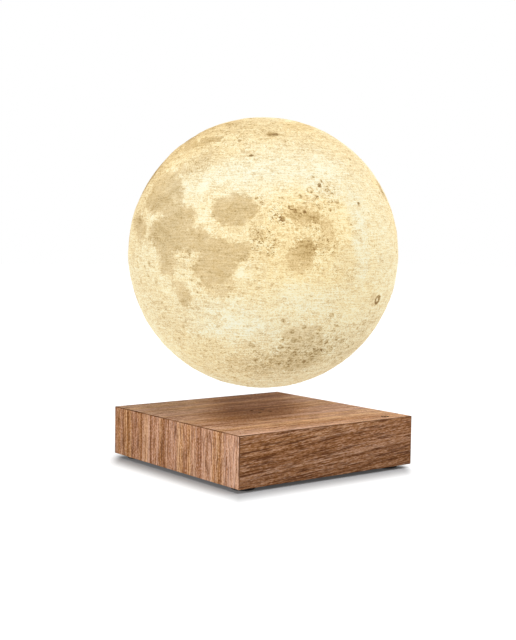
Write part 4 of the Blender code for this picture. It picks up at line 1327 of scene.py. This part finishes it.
def makeMoonPiece(name, node, above, printed, looks, below):
    # rings of plain points above and below the printed ones; they take the plain looks
    mesh = meshOfRings(name, [*above, *printed, *below])
    mesh.transform(Matrix.Translation(moonCentre))
    for kind, values in looks.items():
        ends = [np.full(sum(map(len, rings)), plainLooks[kind]) for rings in (above, below)]
        whole = np.concatenate((ends[0], values, ends[1])).astype(np.float32)
        mesh.attributes.new(kind, "FLOAT", "POINT").data.foreach_set("value", whole)
    wearSlot(newPiece(name, mesh, finishes["moon_print"], sharp=60), "moon_print", "moon", node)
    print(name, "made,", len(mesh.polygons), "faces")


def makeMoon():
    look = moonLook
    craters = allCraters()
    mean, capRadius, soft = moonRadius - look["inset"], capHigh.x, look["seamRound"]
    openRadius, (along, up) = capRadius + fitGap, look["seamCorner"]

    def angleAt(radius, reach):
        return math.pi - math.asin(reach / radius)

    def lipAt(radius, side):  # the rounded edge at the seam, from its printed end
        height = -math.sqrt(mean**2 - radius**2)
        return [evenRing(radius + side * soft * along, height + soft * up), evenRing(radius, height + soft)]

    # shell: its relief outside, the lip at the opening, and a plain wall inside
    last = angleAt(mean, openRadius + soft)
    rows = round(math.degrees(last) / look["rowStep"])
    outer, looks = reliefRows(sphereRows(last / rows, last, rows), craters, openRadius)
    innerRadius, innerRows = moonRadius - look["wall"], look["innerRows"]
    inner = innerRadius * sphereRows(angleAt(innerRadius, openRadius), math.pi / innerRows, innerRows)
    below = [*lipAt(openRadius, 1), *inner, poleAt(innerRadius)]
    makeMoonPiece("moonShell", "moon_shell", [poleAt(outer[0][:, 2].mean())], outer, looks, below)

    # cap: magnet pocket and coil channel inside, the foot of the relief outside
    pocket, skirt = magnetHigh.x + fitGap, receiverHigh.x + fitGap
    pocketWall, capTop = pocket + look["pocketWall"], capHigh.z - moonCentre.z
    pocketFloor, channelFloor = (foot - fitGap - moonCentre.z for foot in (magnetLow.z, receiverLow.z))
    inside = [
        (pocket, pocketFloor),
        (pocket, capTop),
        (pocketWall, capTop),
        (pocketWall, channelFloor),
        (skirt, channelFloor),
        (skirt, capTop),
        (capRadius, capTop),
    ]
    above = [poleAt(pocketFloor), *(evenRing(*point) for point in inside), *reversed(lipAt(capRadius, -1))]
    first = angleAt(mean, capRadius - soft)
    rows = sphereRows(first, math.pi - (math.pi - first) / look["capRows"], look["capRows"])
    outer, looks = reliefRows(rows, craters, capRadius)
    makeMoonPiece("moonCap", "moon_cap", above, outer, looks, [poleAt(outer[-1][:, 2].mean())])


makeMoon()


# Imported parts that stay, in their finishes

def dressParts():
    slots = {part["node"]: part["material_slot"] for part in frame["record"]["subparts"]}
    for node, part in frame["nodes"].items():
        part.data.materials.clear()
        part.data.materials.append(finishes[slots[node]])


dressParts()
print("packed parts dressed")


# Floor, light and camera

stageLook = {
    "floorSize": 8,
    "floorColour": (0.4, 0.407, 0.418),
    "floorGlow": 0.78,
    "paintedShadowTowards": (-0.615, -0.788),  # the side to which the painted shadow under the case reaches
    "paintedShadowReach": (-11 * mm, 28 * mm),  # from where to where the painted shadow fades to white there
    "paintedShadowPower": 2,
    "paintedShadowLeast": 0.07,
    "paintedShadowSides": (-5 * mm, 3 * mm),
    "paintedShadowBehind": (-6 * mm, 8 * mm),
    "farFade": (100 * mm, 600 * mm),  # where the rest of the floor turns as white as the sky
    "farGlow": 0.35,
    "skyLight": 0.2,
    "lamps": (  # name, where the light comes from, its level and the lamp's size
        ("lampAbove", (-0.03, -0.45, 0.89), 0.85, 1.2),
        ("lampRight", (0.75, -0.25, 0.60), 0.42, 1.0),
        ("lampLeft", (-0.97, -0.05, 0.17), 0.78, 0.6),
    ),
    "lampDistance": 1.3,
}


def seenRays(sheet):  # rays from the camera, straight or by way of gloss and glass
    path = sheet.node("LightPath", {}, {})
    return path.above(path.part("Is Glossy Ray")).above(path.part("Is Transmission Ray"))


def makeFloor():
    look = stageLook
    bm = bmesh.new()
    bmesh.ops.create_grid(bm, x_segments=2, y_segments=2, size=look["floorSize"] / 2)
    sheet = newSheet("floorWithPaintedShadow")
    x, y, _ = sheet.axes()
    # The glow is dimmed near the case, most towards the front left: a painted shadow, beside the real one that
    # the lamps cast on the matte part.
    towardsX, towardsY = look["paintedShadowTowards"]
    front = ((x - caseLow.x) / towardsX).above((y - caseLow.y) / towardsY)
    aside = abs(x * towardsY - y * towardsX) - caseHigh.x * (abs(towardsX) + abs(towardsY))
    behind = (x - caseHigh.x).above(y - caseHigh.y)
    near = (front.ease(*look["paintedShadowReach"]) ** look["paintedShadowPower"]).above(look["paintedShadowLeast"])
    near = 1 - (1 - near) * (1 - aside.ease(*look["paintedShadowSides"])) * (1 - behind.ease(*look["paintedShadowBehind"]))
    out = front.above(behind).above(aside)
    glow = near * look["floorGlow"] + out.ease(*look["farFade"]) * look["farGlow"]
    matte = sheet.node("BsdfDiffuse", {}, {"Color": look["floorColour"]})
    light = sheet.node("Emission", {}, {"Color": (1, 1, 1), "Strength": glow * seenRays(sheet)})
    both = sheet.node("AddShader", {}, {0: matte, 1: light})
    sheet.node("OutputMaterial", {}, {"Surface": both})
    newPiece("floor", filledMesh("floor", bm), sheet.owner)


def makeLight():
    look = stageLook
    world = bpy.data.worlds.new("studio")
    bpy.context.scene.world = world
    sheet = Sheet(world)
    strength = seenRays(sheet) * (1 - look["skyLight"]) + look["skyLight"]
    sky = sheet.node("Background", {}, {"Color": (1, 1, 1), "Strength": strength})
    sheet.node("OutputWorld", {}, {"Surface": sky})
    for name, source, level, size in look["lamps"]:
        light = bpy.data.lights.new(name, "AREA")
        light.size = size
        light.energy = level * (math.pi * look["lampDistance"]) ** 2
        lamp = newObject(name, light)
        back = Vector(source).normalized()
        lamp.location = back * look["lampDistance"]
        lamp.rotation_euler = back.to_track_quat("Z", "Y").to_euler()


def makeCamera():
    look = viewLook
    lens = bpy.data.cameras.new("view")
    lens.lens, lens.sensor_width = look["lens"], look["sensor"]
    camera = newObject("view", lens)
    camera.location = look["from"]
    back = camera.location - Vector(look["aim"])
    roll = Matrix.Rotation(math.radians(look["roll"]), 3, "Z")
    camera.rotation_euler = (back.to_track_quat("Z", "Y").to_matrix() @ roll).to_euler()
    bpy.context.scene.camera = camera
    bpy.context.scene.view_settings.view_transform = "Standard"


makeFloor()
makeLight()
makeCamera()
print("stage made")
